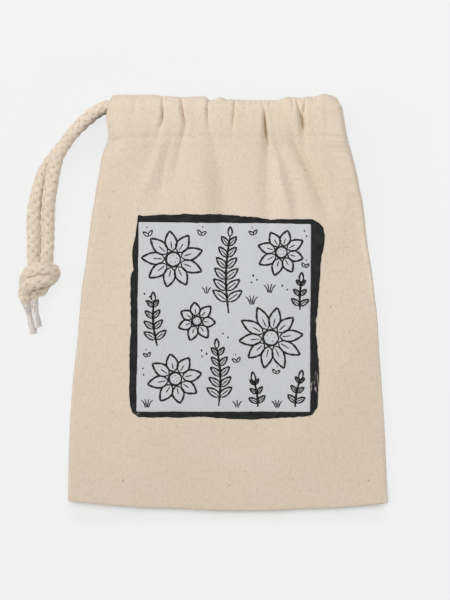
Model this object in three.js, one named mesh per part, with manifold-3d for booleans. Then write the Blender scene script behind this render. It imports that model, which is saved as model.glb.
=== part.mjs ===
// Drawstring gift bag of unbleached cotton, lying on its back with its mouth drawn half shut.
// Millimetres, +Z up, +Y towards the mouth, +X away from the side where the cord comes out.
// The origin is the middle of the bag, on the surface that it lies on.

import * as THREE from "three";
import { mergeVertices } from "three/addons/utils/BufferGeometryUtils.js";
import Module from "manifold-3d";

const wasm = await Module();
wasm.setup();

// Bag
const bagWidth = 150.8;
const bagHeight = 196;
const mouthWidth = 113.2; // gathered on the cord
const casingDepth = 21.6; // from the row of stitches to the top fold
const cloth = 0.6;
const mouthGap = 4.8; // between the two casings
const bottomSag = 4.6; // the bottom seam's middle hangs lower than its corners
const sagMiddle = 8;
const bottomLoft = 5.5; // height of the hollow just inside the bottom seam
const bottomRound = 10.5; // how far the front takes to rise from the bottom seam
const loftPower = 1.6; // how late the front climbs towards the mouth
const edgeSquareness = { bottom: 4, mouth: 12 }; // how squarely the front turns over at its sides
const seamAllowance = 10;
const seamTurn = 2.6; // from the bag's edge to the edge of the folded allowance

// Cord
const cordDiameter = 6;
const cordEase = 0.35; // between the cord and its tunnel
const cordSeat = 7; // from the top fold down to the cord
const knotSqueeze = 0.9; // how much of its thickness the cord keeps in the knot
const agletDiameter = 3.4;
const agletTaper = 0.94;
const agletRim = 0.4; // how far the film's end is rolled in

// Touching pieces
const touchGap = 0.3;

// Gathers: where each crease starts on the top fold, its depth and width, and how far it drifts sideways
// and reaches down the front
const gathers = [
  { x: -30.3, depth: 0.9, width: 2.6, drift: -13, reach: 75 },
  { x: -21.4, depth: 1.2, width: 2.8, drift: -5, reach: 45 },
  { x: -9.6, depth: 0.8, width: 3.4, drift: -1, reach: 80 },
  { x: 2.6, depth: 0.6, width: 2.4, drift: 1, reach: 30 },
  { x: 17.2, depth: 1.9, width: 2.8, drift: 0, reach: 90 },
  { x: 34.1, depth: 1.5, width: 3.0, drift: 15, reach: 85 },
];
const puffHeight = 1.6; // how far the cloth stands out between two creases
const puffFade = 8; // how soon that ends below the stitches
const creaseDip = 0.6; // how much the deepest crease lowers the top fold
const foldSpread = 1.6; // how much wider a fold is at its foot
const foldFade = 1.5; // how its depth dies away downwards

// Levels and lines worked out from the sizes above
const halfBag = bagWidth / 2;
const halfMouth = mouthWidth / 2;
const topY = bagHeight / 2;
const stitchY = topY - casingDepth;
const cordY = topY - cordSeat;
const cordRadius = cordDiameter / 2;
const tunnelHalf = cordRadius + cordEase + cloth;
const seamHalf = cloth + touchGap / 2;
const backCordZ = tunnelHalf;
const frontCordZ = 3 * tunnelHalf + mouthGap;
const turnRadius = (frontCordZ - backCordZ) / 2;
const turnX = halfMouth - turnRadius - tunnelHalf;
const rimZ = cloth + touchGap;
const mouthLoft = frontCordZ + seamHalf - touchGap / 2 - rimZ;
const pivotX = -halfMouth - cordRadius - 3 * touchGap;
const runEndX = pivotX + cordRadius + touchGap;

// Steps of the surfaces
const casingSteps = 42;
const turnSteps = 8;
const tunnelSteps = 5;
const foldSteps = 7;
const panelRows = 30;
const panelColumns = 38;
const rowCrowding = 1.35; // how much closer the front's rows are near the bottom
const cordSides = 10;

// Materials
function finish(colour, roughness) {
  return new THREE.MeshStandardMaterial({ color: colour, roughness, metalness: 0 });
}
const calico = finish(0xd8c7b3, 0.95);
const cottonCord = finish(0xd9cab9, 0.95);
const film = finish(0xcbc3bf, 0.35);

// Outline of the bag seen from above
function halfWidthAt(y) {
  const cornerY = -topY + bottomSag;
  const climb = THREE.MathUtils.clamp((y - cornerY) / (stitchY - cornerY), 0, 1);
  return halfBag - (halfBag - halfMouth) * climb ** 2;
}

function bottomAt(x) {
  return -topY + bottomSag * ((x - sagMiddle) / halfBag) ** 2;
}

// Share of a crease's depth at x on the top fold, 0 between creases and 1 in the deepest
function creaseAt(x) {
  const deepest = Math.max(...gathers.map((gather) => gather.depth));
  let share = 0;
  for (const gather of gathers) {
    share = Math.max(share, (gather.depth / deepest) * Math.exp(-(((x - gather.x) / gather.width) ** 2)));
  }
  return share;
}

function puffAt(x) {
  const fromEnd = Math.min(x + halfMouth, turnX + turnRadius - x) / (2 * tunnelHalf);
  return puffHeight * (1 - creaseAt(x)) * THREE.MathUtils.smoothstep(fromEnd, 0, 1);
}

// Closes two matching grids of points, the outer and inner side of a wall, into one solid
function wall(outer, inner, wraps) {
  const rows = outer.length;
  const columns = outer[0].length;
  const spans = wraps ? columns : columns - 1;
  const triangles = [];
  const at = (side, row, column) => (side * rows + row) * columns + (column % columns);
  const quad = (a, b, c, d) => triangles.push(a, b, c, a, c, d);
  for (let row = 0; row < rows - 1; row++) {
    for (let column = 0; column < spans; column++) {
      quad(at(0, row, column), at(0, row + 1, column), at(0, row + 1, column + 1), at(0, row, column + 1));
      quad(at(1, row, column), at(1, row, column + 1), at(1, row + 1, column + 1), at(1, row + 1, column));
    }
  }
  const last = rows - 1;
  for (let column = 0; column < spans; column++) {
    quad(at(0, 0, column), at(0, 0, column + 1), at(1, 0, column + 1), at(1, 0, column));
    quad(at(0, last, column), at(1, last, column), at(1, last, column + 1), at(0, last, column + 1));
  }
  if (!wraps) {
    for (let row = 0; row < last; row++) {
      quad(at(0, row, 0), at(1, row, 0), at(1, row + 1, 0), at(0, row + 1, 0));
      quad(at(0, row, spans), at(0, row + 1, spans), at(1, row + 1, spans), at(1, row, spans));
    }
  }
  return facingOut([...outer.flat(), ...inner.flat()], triangles);
}

// Turns the triangles round where they enclose a negative volume
function facingOut(points, triangles) {
  let volume = 0;
  const corner = (index) => new THREE.Vector3(...points[index]);
  for (let i = 0; i < triangles.length; i += 3) {
    const [a, b, c] = [corner(triangles[i]), corner(triangles[i + 1]), corner(triangles[i + 2])];
    volume += a.dot(b.cross(c));
  }
  if (volume < 0) {
    triangles.reverse();
  }
  const geometry = new THREE.BufferGeometry();
  geometry.setAttribute("position", new THREE.Float32BufferAttribute(points.flat(), 3));
  geometry.setIndex(triangles);
  geometry.computeVertexNormals();
  return geometry;
}

// Casing: a folded band of cloth sewn down along the stitches, with the cord's tunnel in it. Its section
// is carried along the front, round the right side and back along the underside.
// A station has its place on the cord's line, the outward direction there, and how flat its outside lies.
function frontStation(x) {
  return { x, z: frontCordZ, outX: 0, outZ: 1, flat: 0, puff: puffAt(x), dip: creaseAt(x) };
}

function turnStation(share) {
  const angle = Math.PI * share;
  const outX = Math.sin(angle);
  const outZ = Math.cos(angle);
  return {
    x: turnX + turnRadius * outX,
    z: (frontCordZ + backCordZ) / 2 + turnRadius * outZ,
    outX,
    outZ,
    flat: share,
    puff: puffAt(turnX) * (1 - share),
    dip: 0,
  };
}

function backStation(x) {
  return { x, z: backCordZ, outX: 0, outZ: -1, flat: 1, puff: 0, dip: 0 };
}

// How much of its height the tunnel has at y: none at the stitches, all of it at the cord
function bulge(y) {
  return 0.5 + 0.5 * Math.cos((Math.PI * (cordY - y)) / (cordY - stitchY));
}

// One ring of the section, inset by a wall: up the outside, over the top fold and down the inside. The
// hollow starts a few cloths above the stitches, where its two sides have room to part.
function sectionRing(station, inset) {
  const reach = cordSeat - creaseDip * station.dip - inset;
  const lowest = stitchY + 3 * inset;
  const ring = [];
  const put = (y, out) => {
    ring.push([station.x + station.outX * out, y, station.z + station.outZ * out]);
  };
  const half = (y) => seamHalf + (tunnelHalf - seamHalf) * bulge(y);
  for (let i = 0; i < tunnelSteps; i++) {
    const y = THREE.MathUtils.lerp(lowest, cordY, i / tunnelSteps);
    put(y, THREE.MathUtils.lerp(half(y), tunnelHalf, station.flat) - inset + station.puff);
  }
  for (let i = 0; i <= foldSteps; i++) {
    const angle = (Math.PI * i) / foldSteps;
    const out = tunnelHalf - inset + station.puff * Math.max(Math.cos(angle), 0);
    put(cordY + reach * Math.sin(angle), out * Math.cos(angle));
  }
  for (let i = tunnelSteps - 1; i >= 0; i--) {
    const y = THREE.MathUtils.lerp(lowest, cordY, i / tunnelSteps);
    const outside = THREE.MathUtils.lerp(half(y), tunnelHalf, station.flat);
    put(y, outside - 2 * half(y) + inset + station.puff * (1 - bulge(y)));
  }
  return ring;
}

function casing(stations) {
  const outer = stations.map((station) => sectionRing(station, 0));
  const inner = stations.map((station) => sectionRing(station, cloth));
  return wall(outer, inner, true);
}

function spread(from, to, steps) {
  return Array.from({ length: steps + 1 }, (_, i) => THREE.MathUtils.lerp(from, to, i / steps));
}

const seamGapShare = touchGap / (Math.PI * turnRadius);
const frontXs = spread(-halfMouth, turnX - touchGap, casingSteps);
const turnShares = spread(seamGapShare / 4, 1 - seamGapShare / 4, turnSteps);
const backXs = spread(turnX - touchGap, -halfMouth, casingSteps / 2);

// Front panel: the cloth from the stitches down to the bottom seam, standing clear of the back
function loftAt(climb) {
  return bottomLoft + (mouthLoft - bottomLoft) * climb ** loftPower;
}

function foldsAt(x, y) {
  let height = 0;
  for (const gather of gathers) {
    const down = (stitchY - y) / gather.reach;
    if (down < 1) {
      const middle = gather.x + gather.drift * down;
      const width = gather.width * (1 + foldSpread * down);
      height -= gather.depth * (1 - down) ** foldFade * Math.exp(-(((x - middle) / width) ** 2));
    }
  }
  return height;
}

function panelPoint(across, climb, inset) {
  const top = stitchY - touchGap;
  const x = across * (halfWidthAt(THREE.MathUtils.lerp(-topY, top, climb)) - inset);
  const y = THREE.MathUtils.lerp(bottomAt(x) + inset, top, climb);
  const rise = Math.min((climb * (top + topY)) / bottomRound, 1);
  const squareness = THREE.MathUtils.lerp(edgeSquareness.bottom, edgeSquareness.mouth, climb ** 2);
  const arch = Math.sqrt(1 - Math.abs(across) ** squareness) * Math.sqrt(1 - (1 - rise) ** 2);
  const puff = puffHeight * climb ** puffFade + foldsAt(x, y);
  return [x, y, rimZ + (loftAt(climb) + puff - inset) * arch];
}

function frontPanel() {
  const climbs = spread(0, 1, panelRows).map((share) => share ** rowCrowding);
  const acrosses = spread(-1, 1, panelColumns).map((share) => Math.sin((Math.PI / 2) * share));
  const side = (inset) => climbs.map((climb) => acrosses.map((across) => panelPoint(across, climb, inset)));
  return wall(side(0), side(cloth), false);
}

// Flat pieces cut to the bag's outline
function flatPiece(outline, bottom, thickness) {
  const shape = new THREE.Shape(outline.map(([x, y]) => new THREE.Vector2(x, y)));
  const geometry = new THREE.ExtrudeGeometry(shape, { depth: thickness, bevelEnabled: false });
  return geometry.translate(0, 0, bottom);
}

function backPanel() {
  const top = stitchY - touchGap;
  const along = spread(-halfBag, halfBag, 24).map((x) => [x, bottomAt(x)]);
  const rightSide = spread(bottomAt(halfBag), top, 14).slice(1).map((y) => [halfWidthAt(y), y]);
  const leftSide = spread(top, bottomAt(-halfBag), 14).slice(0, -1).map((y) => [-halfWidthAt(y), y]);
  return flatPiece([...along, ...rightSide, ...leftSide], 0, cloth);
}

function sideAllowance() {
  const ys = spread(-topY + bottomSag + 2 * seamAllowance, stitchY - seamAllowance / 2, 14);
  const inside = ys.map((y) => [-halfWidthAt(y) + seamTurn + seamAllowance, y]);
  const edge = ys.map((y) => [-halfWidthAt(y) + seamTurn, y]).reverse();
  return flatPiece([...inside, ...edge], rimZ, 2 * cloth);
}

function bottomAllowance() {
  const xs = spread(-halfBag + seamAllowance, halfBag - seamAllowance, 20);
  const edge = xs.map((x) => [x, bottomAt(x) + seamTurn]);
  const inside = xs.map((x) => [x, bottomAt(x) + seamTurn + seamAllowance]).reverse();
  return flatPiece([...edge, ...inside], rimZ, 2 * cloth);
}

// Cord
function roundSection(radius) {
  const corners = Array.from({ length: cordSides }, (_, i) => (2 * Math.PI * i) / cordSides);
  return new THREE.Shape(
    corners.map((angle) => new THREE.Vector2(radius * Math.cos(angle), radius * Math.sin(angle))),
  );
}

function tube(points, radius, steps) {
  const path = new THREE.CatmullRomCurve3(points.map((point) => new THREE.Vector3(...point)));
  path.curveType = "centripetal";
  return new THREE.ExtrudeGeometry(roundSection(radius), { steps, extrudePath: path, bevelEnabled: false });
}

function cordRun(z) {
  return tube([[runEndX, cordY, z], [0, cordY, z], [turnX - touchGap, cordY, z]], cordRadius, 6);
}

class TurnPath extends THREE.Curve {
  getPoint(share, target = new THREE.Vector3()) {
    const angle = Math.PI * share;
    const middleZ = (frontCordZ + backCordZ) / 2;
    return target.set(turnX + turnRadius * Math.sin(angle), cordY, middleZ + turnRadius * Math.cos(angle));
  }
}

function cordTurn() {
  return new THREE.ExtrudeGeometry(roundSection(cordRadius), {
    steps: 10,
    extrudePath: new TurnPath(),
    bevelEnabled: false,
  });
}

// Solids joined by a union
function solid(geometry) {
  const bare = geometry.clone();
  bare.deleteAttribute("normal");
  bare.deleteAttribute("uv");
  const merged = mergeVertices(bare, 1e-4);
  return new wasm.Manifold(
    new wasm.Mesh({
      numProp: 3,
      vertProperties: merged.attributes.position.array,
      triVerts: Uint32Array.from(merged.index.array),
    }),
  );
}

function joined(geometries) {
  let whole = solid(geometries[0]);
  for (const geometry of geometries.slice(1)) {
    whole = whole.add(solid(geometry));
  }
  const mesh = whole.getMesh();
  const geometry = new THREE.BufferGeometry();
  geometry.setAttribute("position", new THREE.BufferAttribute(mesh.vertProperties, 3));
  geometry.setIndex(new THREE.BufferAttribute(mesh.triVerts, 1));
  geometry.computeVertexNormals();
  return geometry;
}

function ball(centre, radii) {
  return new THREE.SphereGeometry(1, 14, 10).scale(...radii).translate(...centre);
}

// The two free strands leave the casing one above the other, drop to the surface and run side by side to
// the knot. Their points are measured from the exit, and each strand starts in a ball that it swings on.
const frontStrandPoints = [
  [0, 0, frontCordZ],
  [-3.1, -2.0, 16.1],
  [-10.4, -9.2, 12.9],
  [-17.0, -17.3, 10.4],
  [-20.2, -22.1, 9.7],
  [-22.0, -28.7, 8.8],
  [-23.2, -35.8, 7.6],
  [-23.9, -42.8, 6.5],
  [-24.1, -49.9, 4.5],
  [-24.2, -56.9, 3.3],
  [-24.6, -64.0, 3.1],
  [-24.6, -69.5, 3.1],
];
const backStrandPoints = [
  [0, 0, backCordZ],
  [-3.1, -2.0, 3.6],
  [-10.4, -9.2, 3.1],
  [-17.0, -17.3, 3.1],
  [-21.0, -22.5, 3.1],
  [-25.3, -28.7, 3.1],
  [-27.9, -35.8, 3.1],
  [-29.7, -42.8, 3.1],
  [-30.8, -49.9, 3.1],
  [-31.2, -56.9, 3.1],
  [-31.1, -64.0, 3.1],
  [-30.9, -69.5, 3.1],
];

function strand(points) {
  return joined([tube(points, cordRadius, 30), ball(points[0], [cordRadius, cordRadius, cordRadius])]);
}

// Knot: a doubled overhand. Two strands wrap over the front as a band and tuck under themselves.
// Its points are measured from the knot's middle.
const knotPlace = [-27.5, -80.2];
const knotRadius = cordRadius * knotSqueeze;
const bandUpper = [
  [-7.2, -3.0, 3.5],
  [-7.9, 0.7, 7.0],
  [-4.8, 4.2, 9.6],
  [0.1, 5.3, 10.4],
  [5.0, 4.9, 9.4],
  [7.6, 2.6, 6.4],
  [6.5, -0.7, 3.7],
];
const bandLower = [
  [-6.2, -6.3, 3.2],
  [-7.6, -4.0, 6.2],
  [-4.4, -1.2, 9.2],
  [0.6, -0.3, 9.8],
  [4.6, 0.3, 8.0],
  [6.2, -1.6, 4.6],
];
const loopBehind = [
  [2.2, -6.8, 2.9],
  [4.6, -4.0, 3.0],
  [6.5, -0.7, 3.6],
];
const knotHeart = { middle: [-1.1, 0.2, 5.4], radii: [7.0, 6.5, 5.0] };

// Tails: where each leaves the knot, where its film grips it and where it ends
const tails = {
  left: { leave: [-7.0, -10.3, 2.9], grip: [-6.3, -14.4, 2.4], end: [-3.2, -25.4, 1.9] },
  right: { leave: [-1.9, -8.6, 3.1], grip: [-1.6, -11.4, 2.6], end: [-0.8, -22.3, 1.9] },
};
const tailRadius = 2.3;
const tailRoot = 6; // how far each tail reaches back into the knot

// Sets a shape that stands along Y between two points, with a gap at each end
function between(makeShape, from, to, gap) {
  const start = new THREE.Vector3(...from);
  const along = new THREE.Vector3(...to).sub(start);
  const length = along.length() - 2 * gap;
  along.normalize();
  const turn = new THREE.Quaternion().setFromUnitVectors(new THREE.Vector3(0, 1, 0), along);
  const middle = start.addScaledVector(along, gap + length / 2);
  return makeShape(length).applyQuaternion(turn).translate(middle.x, middle.y, middle.z);
}

function rod(endRadius, startRadius) {
  return (length) => new THREE.CylinderGeometry(endRadius, startRadius, length, cordSides);
}

function tailStub({ leave, grip }) {
  const back = new THREE.Vector3(...leave).sub(new THREE.Vector3(...grip)).setLength(tailRoot);
  const root = back.add(new THREE.Vector3(...leave)).toArray();
  return between(rod(tailRadius, knotRadius), root, leave, touchGap / 2);
}

function knot() {
  const stubs = [frontStrandPoints.at(-1), backStrandPoints.at(-1)].map((end) => {
    const x = end[0] - knotPlace[0];
    const face = end[1] - knotPlace[1] - touchGap;
    return tube([[x, face, end[2]], [x, face / 2, end[2] + 0.2], [x * 0.7, 0, 4.4]], cordRadius, 4);
  });
  return joined([
    ball(knotHeart.middle, knotHeart.radii),
    tube(bandUpper, knotRadius, 16),
    tube(bandLower, knotRadius, 14),
    tube(loopBehind, knotRadius, 6),
    ...stubs,
    tailStub(tails.left),
    tailStub(tails.right),
  ]);
}

function tail({ leave, grip }) {
  return between(rod(agletDiameter / 2, tailRadius), leave, grip, touchGap / 2);
}

// Aglet: heat-shrunk film over the cord's end, with its rim rolled in
function aglet({ grip, end }) {
  const radius = agletDiameter / 2;
  const shape = (length) =>
    new THREE.LatheGeometry(
      [
        new THREE.Vector2(0, -length / 2),
        new THREE.Vector2(radius, -length / 2),
        new THREE.Vector2(radius * agletTaper, length / 2 - agletRim),
        new THREE.Vector2(radius * agletTaper - agletRim, length / 2),
        new THREE.Vector2(0, length / 2),
      ],
      12,
    );
  return between(shape, grip, end, touchGap / 2);
}

// Assembly
function piece(name, geometry, material) {
  const mesh = new THREE.Mesh(geometry, material);
  mesh.name = name;
  return mesh;
}

const bag = new THREE.Group();
bag.add(
  piece("back_panel", backPanel(), calico),
  piece("front_panel", frontPanel(), calico),
  piece("casing_front", casing(frontXs.map(frontStation)), calico),
  piece("casing_turn", casing(turnShares.map(turnStation)), calico),
  piece("casing_back", casing(backXs.map(backStation)), calico),
  piece("side_seam_allowance", sideAllowance(), calico),
  piece("bottom_seam_allowance", bottomAllowance(), calico),
);

const drawcord = new THREE.Group();
drawcord.add(
  piece("cord_front_run", cordRun(frontCordZ), cottonCord),
  piece("cord_turn", cordTurn(), cottonCord),
  piece("cord_back_run", cordRun(backCordZ), cottonCord),
);

const knotGroup = new THREE.Group();
knotGroup.position.set(...knotPlace, 0);
knotGroup.add(
  piece("knot", knot(), cottonCord),
  piece("cord_tail_left", tail(tails.left), cottonCord),
  piece("cord_tail_right", tail(tails.right), cottonCord),
  piece("aglet_left", aglet(tails.left), film),
  piece("aglet_right", aglet(tails.right), film),
);

const freeCord = new THREE.Group();
freeCord.position.set(pivotX, cordY, 0);
freeCord.add(
  piece("cord_front_strand", strand(frontStrandPoints), cottonCord),
  piece("cord_back_strand", strand(backStrandPoints), cottonCord),
  knotGroup,
);

const drawstringBag = new THREE.Group();
drawstringBag.add(bag, drawcord, freeCord);

export default drawstringBag;
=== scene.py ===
import math

import bpy
import mathutils
import numpy as np
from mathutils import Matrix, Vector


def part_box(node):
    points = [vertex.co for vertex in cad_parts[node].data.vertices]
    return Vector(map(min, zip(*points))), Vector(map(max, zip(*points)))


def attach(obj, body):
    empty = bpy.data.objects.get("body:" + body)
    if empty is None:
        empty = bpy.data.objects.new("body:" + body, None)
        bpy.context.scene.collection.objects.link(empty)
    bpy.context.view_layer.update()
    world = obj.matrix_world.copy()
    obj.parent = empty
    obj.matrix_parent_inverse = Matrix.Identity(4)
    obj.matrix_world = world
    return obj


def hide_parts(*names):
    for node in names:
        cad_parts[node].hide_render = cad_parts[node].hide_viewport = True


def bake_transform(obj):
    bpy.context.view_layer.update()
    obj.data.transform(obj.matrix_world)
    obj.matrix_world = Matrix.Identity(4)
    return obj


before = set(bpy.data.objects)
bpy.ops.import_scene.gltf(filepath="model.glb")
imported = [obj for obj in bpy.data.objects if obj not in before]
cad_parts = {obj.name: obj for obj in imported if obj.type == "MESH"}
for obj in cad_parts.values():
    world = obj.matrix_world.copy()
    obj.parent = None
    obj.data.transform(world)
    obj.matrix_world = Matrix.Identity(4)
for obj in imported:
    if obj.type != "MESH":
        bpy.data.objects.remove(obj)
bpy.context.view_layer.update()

# Drawstring gift bag of unbleached cotton, laid on its back. Shapes are worked out in millimetres, in the
# frame's axes: +Y towards the mouth, +Z up, and the cord comes out at the -X end of the casing.

mm = 0.001

print("stage: sizes from the frame")


def boxOf(node):
    low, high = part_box(node)
    return np.array(low) / mm, np.array(high) / mm


backLow, backHigh = boxOf("back_panel")
casingLow = boxOf("casing_front")[0]
frontRunLow, frontRunHigh = boxOf("cord_front_run")
backRunLow, backRunHigh = boxOf("cord_back_run")
turnLow = boxOf("cord_turn")[0]
touchGap = 0.3  # what touching solids keep between them in the frame

bag = {
    "halfWidth": backHigh[0],
    "halfMouth": -casingLow[0],
    "bottomY": backLow[1],
    "sag": (3.8, 4.6),  # how much lower the bottom edge hangs in its middle than at its left and right end
    "sagMiddle": 8.0,
    "meanSag": 2.0,
    "bottomRises": [(0.45, -22, 11), (0.4, 34, 9)],  # small rises in the bottom edge: height, place, half-width
    "stitchY": backHigh[1] + touchGap,
    "cordY": (frontRunLow[1] + frontRunHigh[1]) / 2,
    "frontCordZ": (frontRunLow[2] + frontRunHigh[2]) / 2,
    "backCordZ": (backRunLow[2] + backRunHigh[2]) / 2,
    "turnX": turnLow[0],
    "thickness": 0.45,
    "tunnelHalf": 3.65,  # from the cord's line to the middle of the cloth
    "seamHalf": 0.35,  # half the distance between the casing's two layers at the stitches
    "seamLift": 1.2,  # how much higher than the cord's line they meet there
    "hemBelow": 0.12,  # how far the casing's inner layer runs past the stitches, as a share of its depth
    "loft": 5.6,  # how high the front stands, low down
    "rimLoft": 2.4,  # how high it stands right at the edges there
    "pillow": 4.0,  # how much more it falls towards its sides half-way up
    "edgeRise": 45.0,  # how far from an edge the front takes to reach its full height
    "edgeEase": 1.8,
    "edgePower": 4.5,  # how squarely the cloth turns over at an edge
    "crownPower": 1.9,  # how late the front rises to the casing
    "sideRoll": (0.7, 0.8),  # width of the side seam's turn-over: a share of its height, and more
    "bottomRoll": 2.4,  # width of the bottom seam's
    "seamPart": 9.0,  # length over which the side seam parts into the casing's two ends
    "bulgePower": 2.4,  # how early the casing opens above the stitches
    "mouthRise": 6.4,  # from the cord's line to the top of the casing's open end
}
cordDiameter = frontRunHigh[2] - frontRunLow[2]
cordRadius = cordDiameter / 2
turnMiddleZ = (bag["frontCordZ"] + bag["backCordZ"]) / 2
turnRadius = (bag["frontCordZ"] - bag["backCordZ"]) / 2
floorZ = bag["backCordZ"] - bag["tunnelHalf"]  # middle of the cloth where it lies on the surface
seamLowZ = (floorZ + bag["rimLoft"]) / 2  # height of the bottom seam
layerHalf = 0.55 * bag["thickness"]  # half the distance between two layers that lie on each other
casingHeight = bag["cordY"] - bag["stitchY"]
mouthZ = bag["frontCordZ"] + bag["seamHalf"] + bag["seamLift"]


def smooth(value, low=0.0, high=1.0):
    share = np.clip((value - low) / (high - low), 0, 1)
    return share * share * (3 - 2 * share)


def unit(vectors):
    return vectors / np.linalg.norm(vectors, axis=-1, keepdims=True)


def lengthAlong(points):
    # distance along a line of points, from its start
    return np.concatenate([[0], np.cumsum(np.linalg.norm(np.diff(points, axis=0), axis=1))])


def readOff(where, length, points):
    # places on a line of points, at some distances along it
    return np.stack([np.interp(where, length, values) for values in points.T], -1)


def turnsOf(count):
    return np.linspace(0, 2 * math.pi, count, endpoint=False)


def srgb(red, green, blue):
    def linear(value):
        value = value / 255
        return value / 12.92 if value <= 0.04045 else ((value + 0.055) / 1.055) ** 2.4

    return (linear(red), linear(green), linear(blue), 1.0)


print("stage: camera, floor and light")

view = {
    "imageHeight": 600,
    "millimetresPerPixel": 0.47,
    "lens": 240,
    "sensor": 36,
    "middle": (-1.2, 1.2),
    "focusHeight": 7.0,  # height at which a millimetre has the photograph's scale
}


def addCamera():
    field = view["imageHeight"] * view["millimetresPerPixel"]
    distance = view["lens"] / view["sensor"] * field + view["focusHeight"]
    data = bpy.data.cameras.new("camera")
    data.lens = view["lens"]
    data.sensor_width = view["sensor"]
    data.clip_start = 0.01
    camera = bpy.data.objects.new("camera", data)
    camera.location = (view["middle"][0] * mm, view["middle"][1] * mm, distance * mm)
    bpy.context.collection.objects.link(camera)
    bpy.context.scene.camera = camera


def setInputs(tree, node, inputs):
    for key, value in inputs.items():
        if isinstance(value, bpy.types.NodeSocket):
            tree.links.new(value, node.inputs[key])
        else:
            node.inputs[key].default_value = value


def addNode(tree, kind, inputs=None, **settings):
    node = tree.nodes.new("ShaderNode" + kind)
    for key, value in settings.items():
        setattr(node, key, value)
    setInputs(tree, node, inputs or {})
    return node


def calculate(tree, operation, *values):
    return addNode(tree, "Math", dict(enumerate(values)), operation=operation).outputs[0]


def axesOf(tree, vector):
    return addNode(tree, "SeparateXYZ", {"Vector": vector}).outputs


def ramp(tree, value, low, high, fromValue=0.0, toValue=1.0):
    inputs = {"Value": value, "From Min": low, "From Max": high, "To Min": fromValue, "To Max": toValue}
    return addNode(tree, "MapRange", inputs, interpolation_type="SMOOTHSTEP").outputs[0]


def newMaterial(name, roughness, sheen=0.0):
    material = bpy.data.materials.new(name)
    material.use_nodes = True
    tree = material.node_tree
    shader = tree.nodes["Principled BSDF"]
    sheens = {"Sheen Weight": sheen, "Sheen Roughness": 0.6}
    setInputs(tree, shader, {"Roughness": roughness, "Specular IOR Level": 0.25, **sheens})
    return material, tree, shader


light = {
    "world": 0.30,
    "sun": 1.52,
    "sunAngle": 40,
    "sunTint": (1.0, 0.988, 0.965),
    "sunFrom": (-0.80, 0.05, 0.60),
    "box": 1.75,  # watts
    "boxSize": 0.5,
    "boxTint": (0.955, 0.985, 1.0),
    "boxPlace": (0.03, 0.29, 0.47),
    "fill": 0.55,
    "fillFrom": (0.52, -0.74, 0.30),
}


def addLights():
    # an even surround, a wide soft window low on the left, a weak one from the lower right and a softbox
    # beyond the mouth
    world = bpy.data.worlds.new("surround")
    world.use_nodes = True
    background = world.node_tree.nodes["Background"]
    setInputs(world.node_tree, background, {"Color": (1, 1, 1, 1), "Strength": light["world"]})
    bpy.context.scene.world = world
    for name, kind, energy, place in (
        ("window", "SUN", light["sun"], light["sunFrom"]),
        ("fill", "SUN", light["fill"], light["fillFrom"]),
        ("softbox", "AREA", light["box"], light["boxPlace"]),
    ):
        data = bpy.data.lights.new(name, kind)
        data.energy = energy
        if kind == "SUN":
            data.angle = math.radians(light["sunAngle"])
        lamp = bpy.data.objects.new(name, data)
        lamp.location = place
        lamp.rotation_euler = mathutils.Vector(place).to_track_quat("Z", "Y").to_euler()
        bpy.context.collection.objects.link(lamp)
    bpy.data.lights["window"].color = light["sunTint"]
    bpy.data.lights["softbox"].color = light["boxTint"]
    bpy.data.lights["softbox"].size = light["boxSize"]


floorLook = {
    "tone": srgb(242, 242, 242),
    "roughness": 0.9,
    "half": 3.0,
    "glow": 0.88,  # share of the tone that no shadow takes away
    "seamGlow": 0.1,  # the same along the bag's lower edge, where the shadow is deepest
    "seamStart": (-0.1085, -0.1005),  # where that stretch begins and ends, along Y
    "seamEnd": (-0.09, -0.08),
    "seamSide": (0.069, 0.079),  # and how far it runs out from the middle
}


def addFloor():
    # pale surface whose tone is partly its own glow, so that shadows stay light
    material, tree, shader = newMaterial("paleSurface", floorLook["roughness"])
    setInputs(tree, shader, {"Base Color": floorLook["tone"], "Specular IOR Level": 0.0})
    glow = addNode(tree, "Emission", {"Color": floorLook["tone"]})
    rays = addNode(tree, "LightPath").outputs
    seen = calculate(tree, "ADD", rays["Is Camera Ray"], rays["Is Glossy Ray"])
    seen = calculate(tree, "ADD", seen, rays["Is Transmission Ray"])
    place = axesOf(tree, addNode(tree, "TexCoord").outputs["Object"])
    begun = ramp(tree, place["Y"], *floorLook["seamStart"])
    notEnded = ramp(tree, place["Y"], *floorLook["seamEnd"], 1.0, 0.0)
    withinBag = ramp(tree, calculate(tree, "ABSOLUTE", place["X"]), *floorLook["seamSide"], 1.0, 0.0)
    nearSeam = calculate(tree, "MULTIPLY", calculate(tree, "MULTIPLY", begun, notEnded), withinBag)
    glowShare = ramp(tree, nearSeam, 0.0, 1.0, floorLook["glow"], floorLook["seamGlow"])
    share = calculate(tree, "MULTIPLY", seen, glowShare)
    mixed = addNode(tree, "MixShader", {0: share, 1: shader.outputs[0], 2: glow.outputs[0]})
    setInputs(tree, tree.nodes["Material Output"], {"Surface": mixed.outputs[0]})
    mesh = bpy.data.meshes.new("surface")
    half = floorLook["half"]
    mesh.from_pydata([(-half, -half, 0), (half, -half, 0), (half, half, 0), (-half, half, 0)], [], [(0, 1, 2, 3)])
    mesh.materials.append(material)
    floor = bpy.data.objects.new("surface", mesh)
    bpy.context.collection.objects.link(floor)


addCamera()
addLights()
addFloor()
bpy.context.scene.view_settings.view_transform = "Standard"


print("stage: materials")


def weaveHeight(tree, coordinates, pitch):
    # product of two sines, one period per pair of threads each way, so that bumps alternate as in plain weave
    place = axesOf(tree, coordinates)
    turns = [calculate(tree, "MULTIPLY", place[axis], 2 * math.pi / pitch) for axis in ("X", "Y")]
    return calculate(tree, "MULTIPLY", *(calculate(tree, "SINE", turn) for turn in turns))


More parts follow.
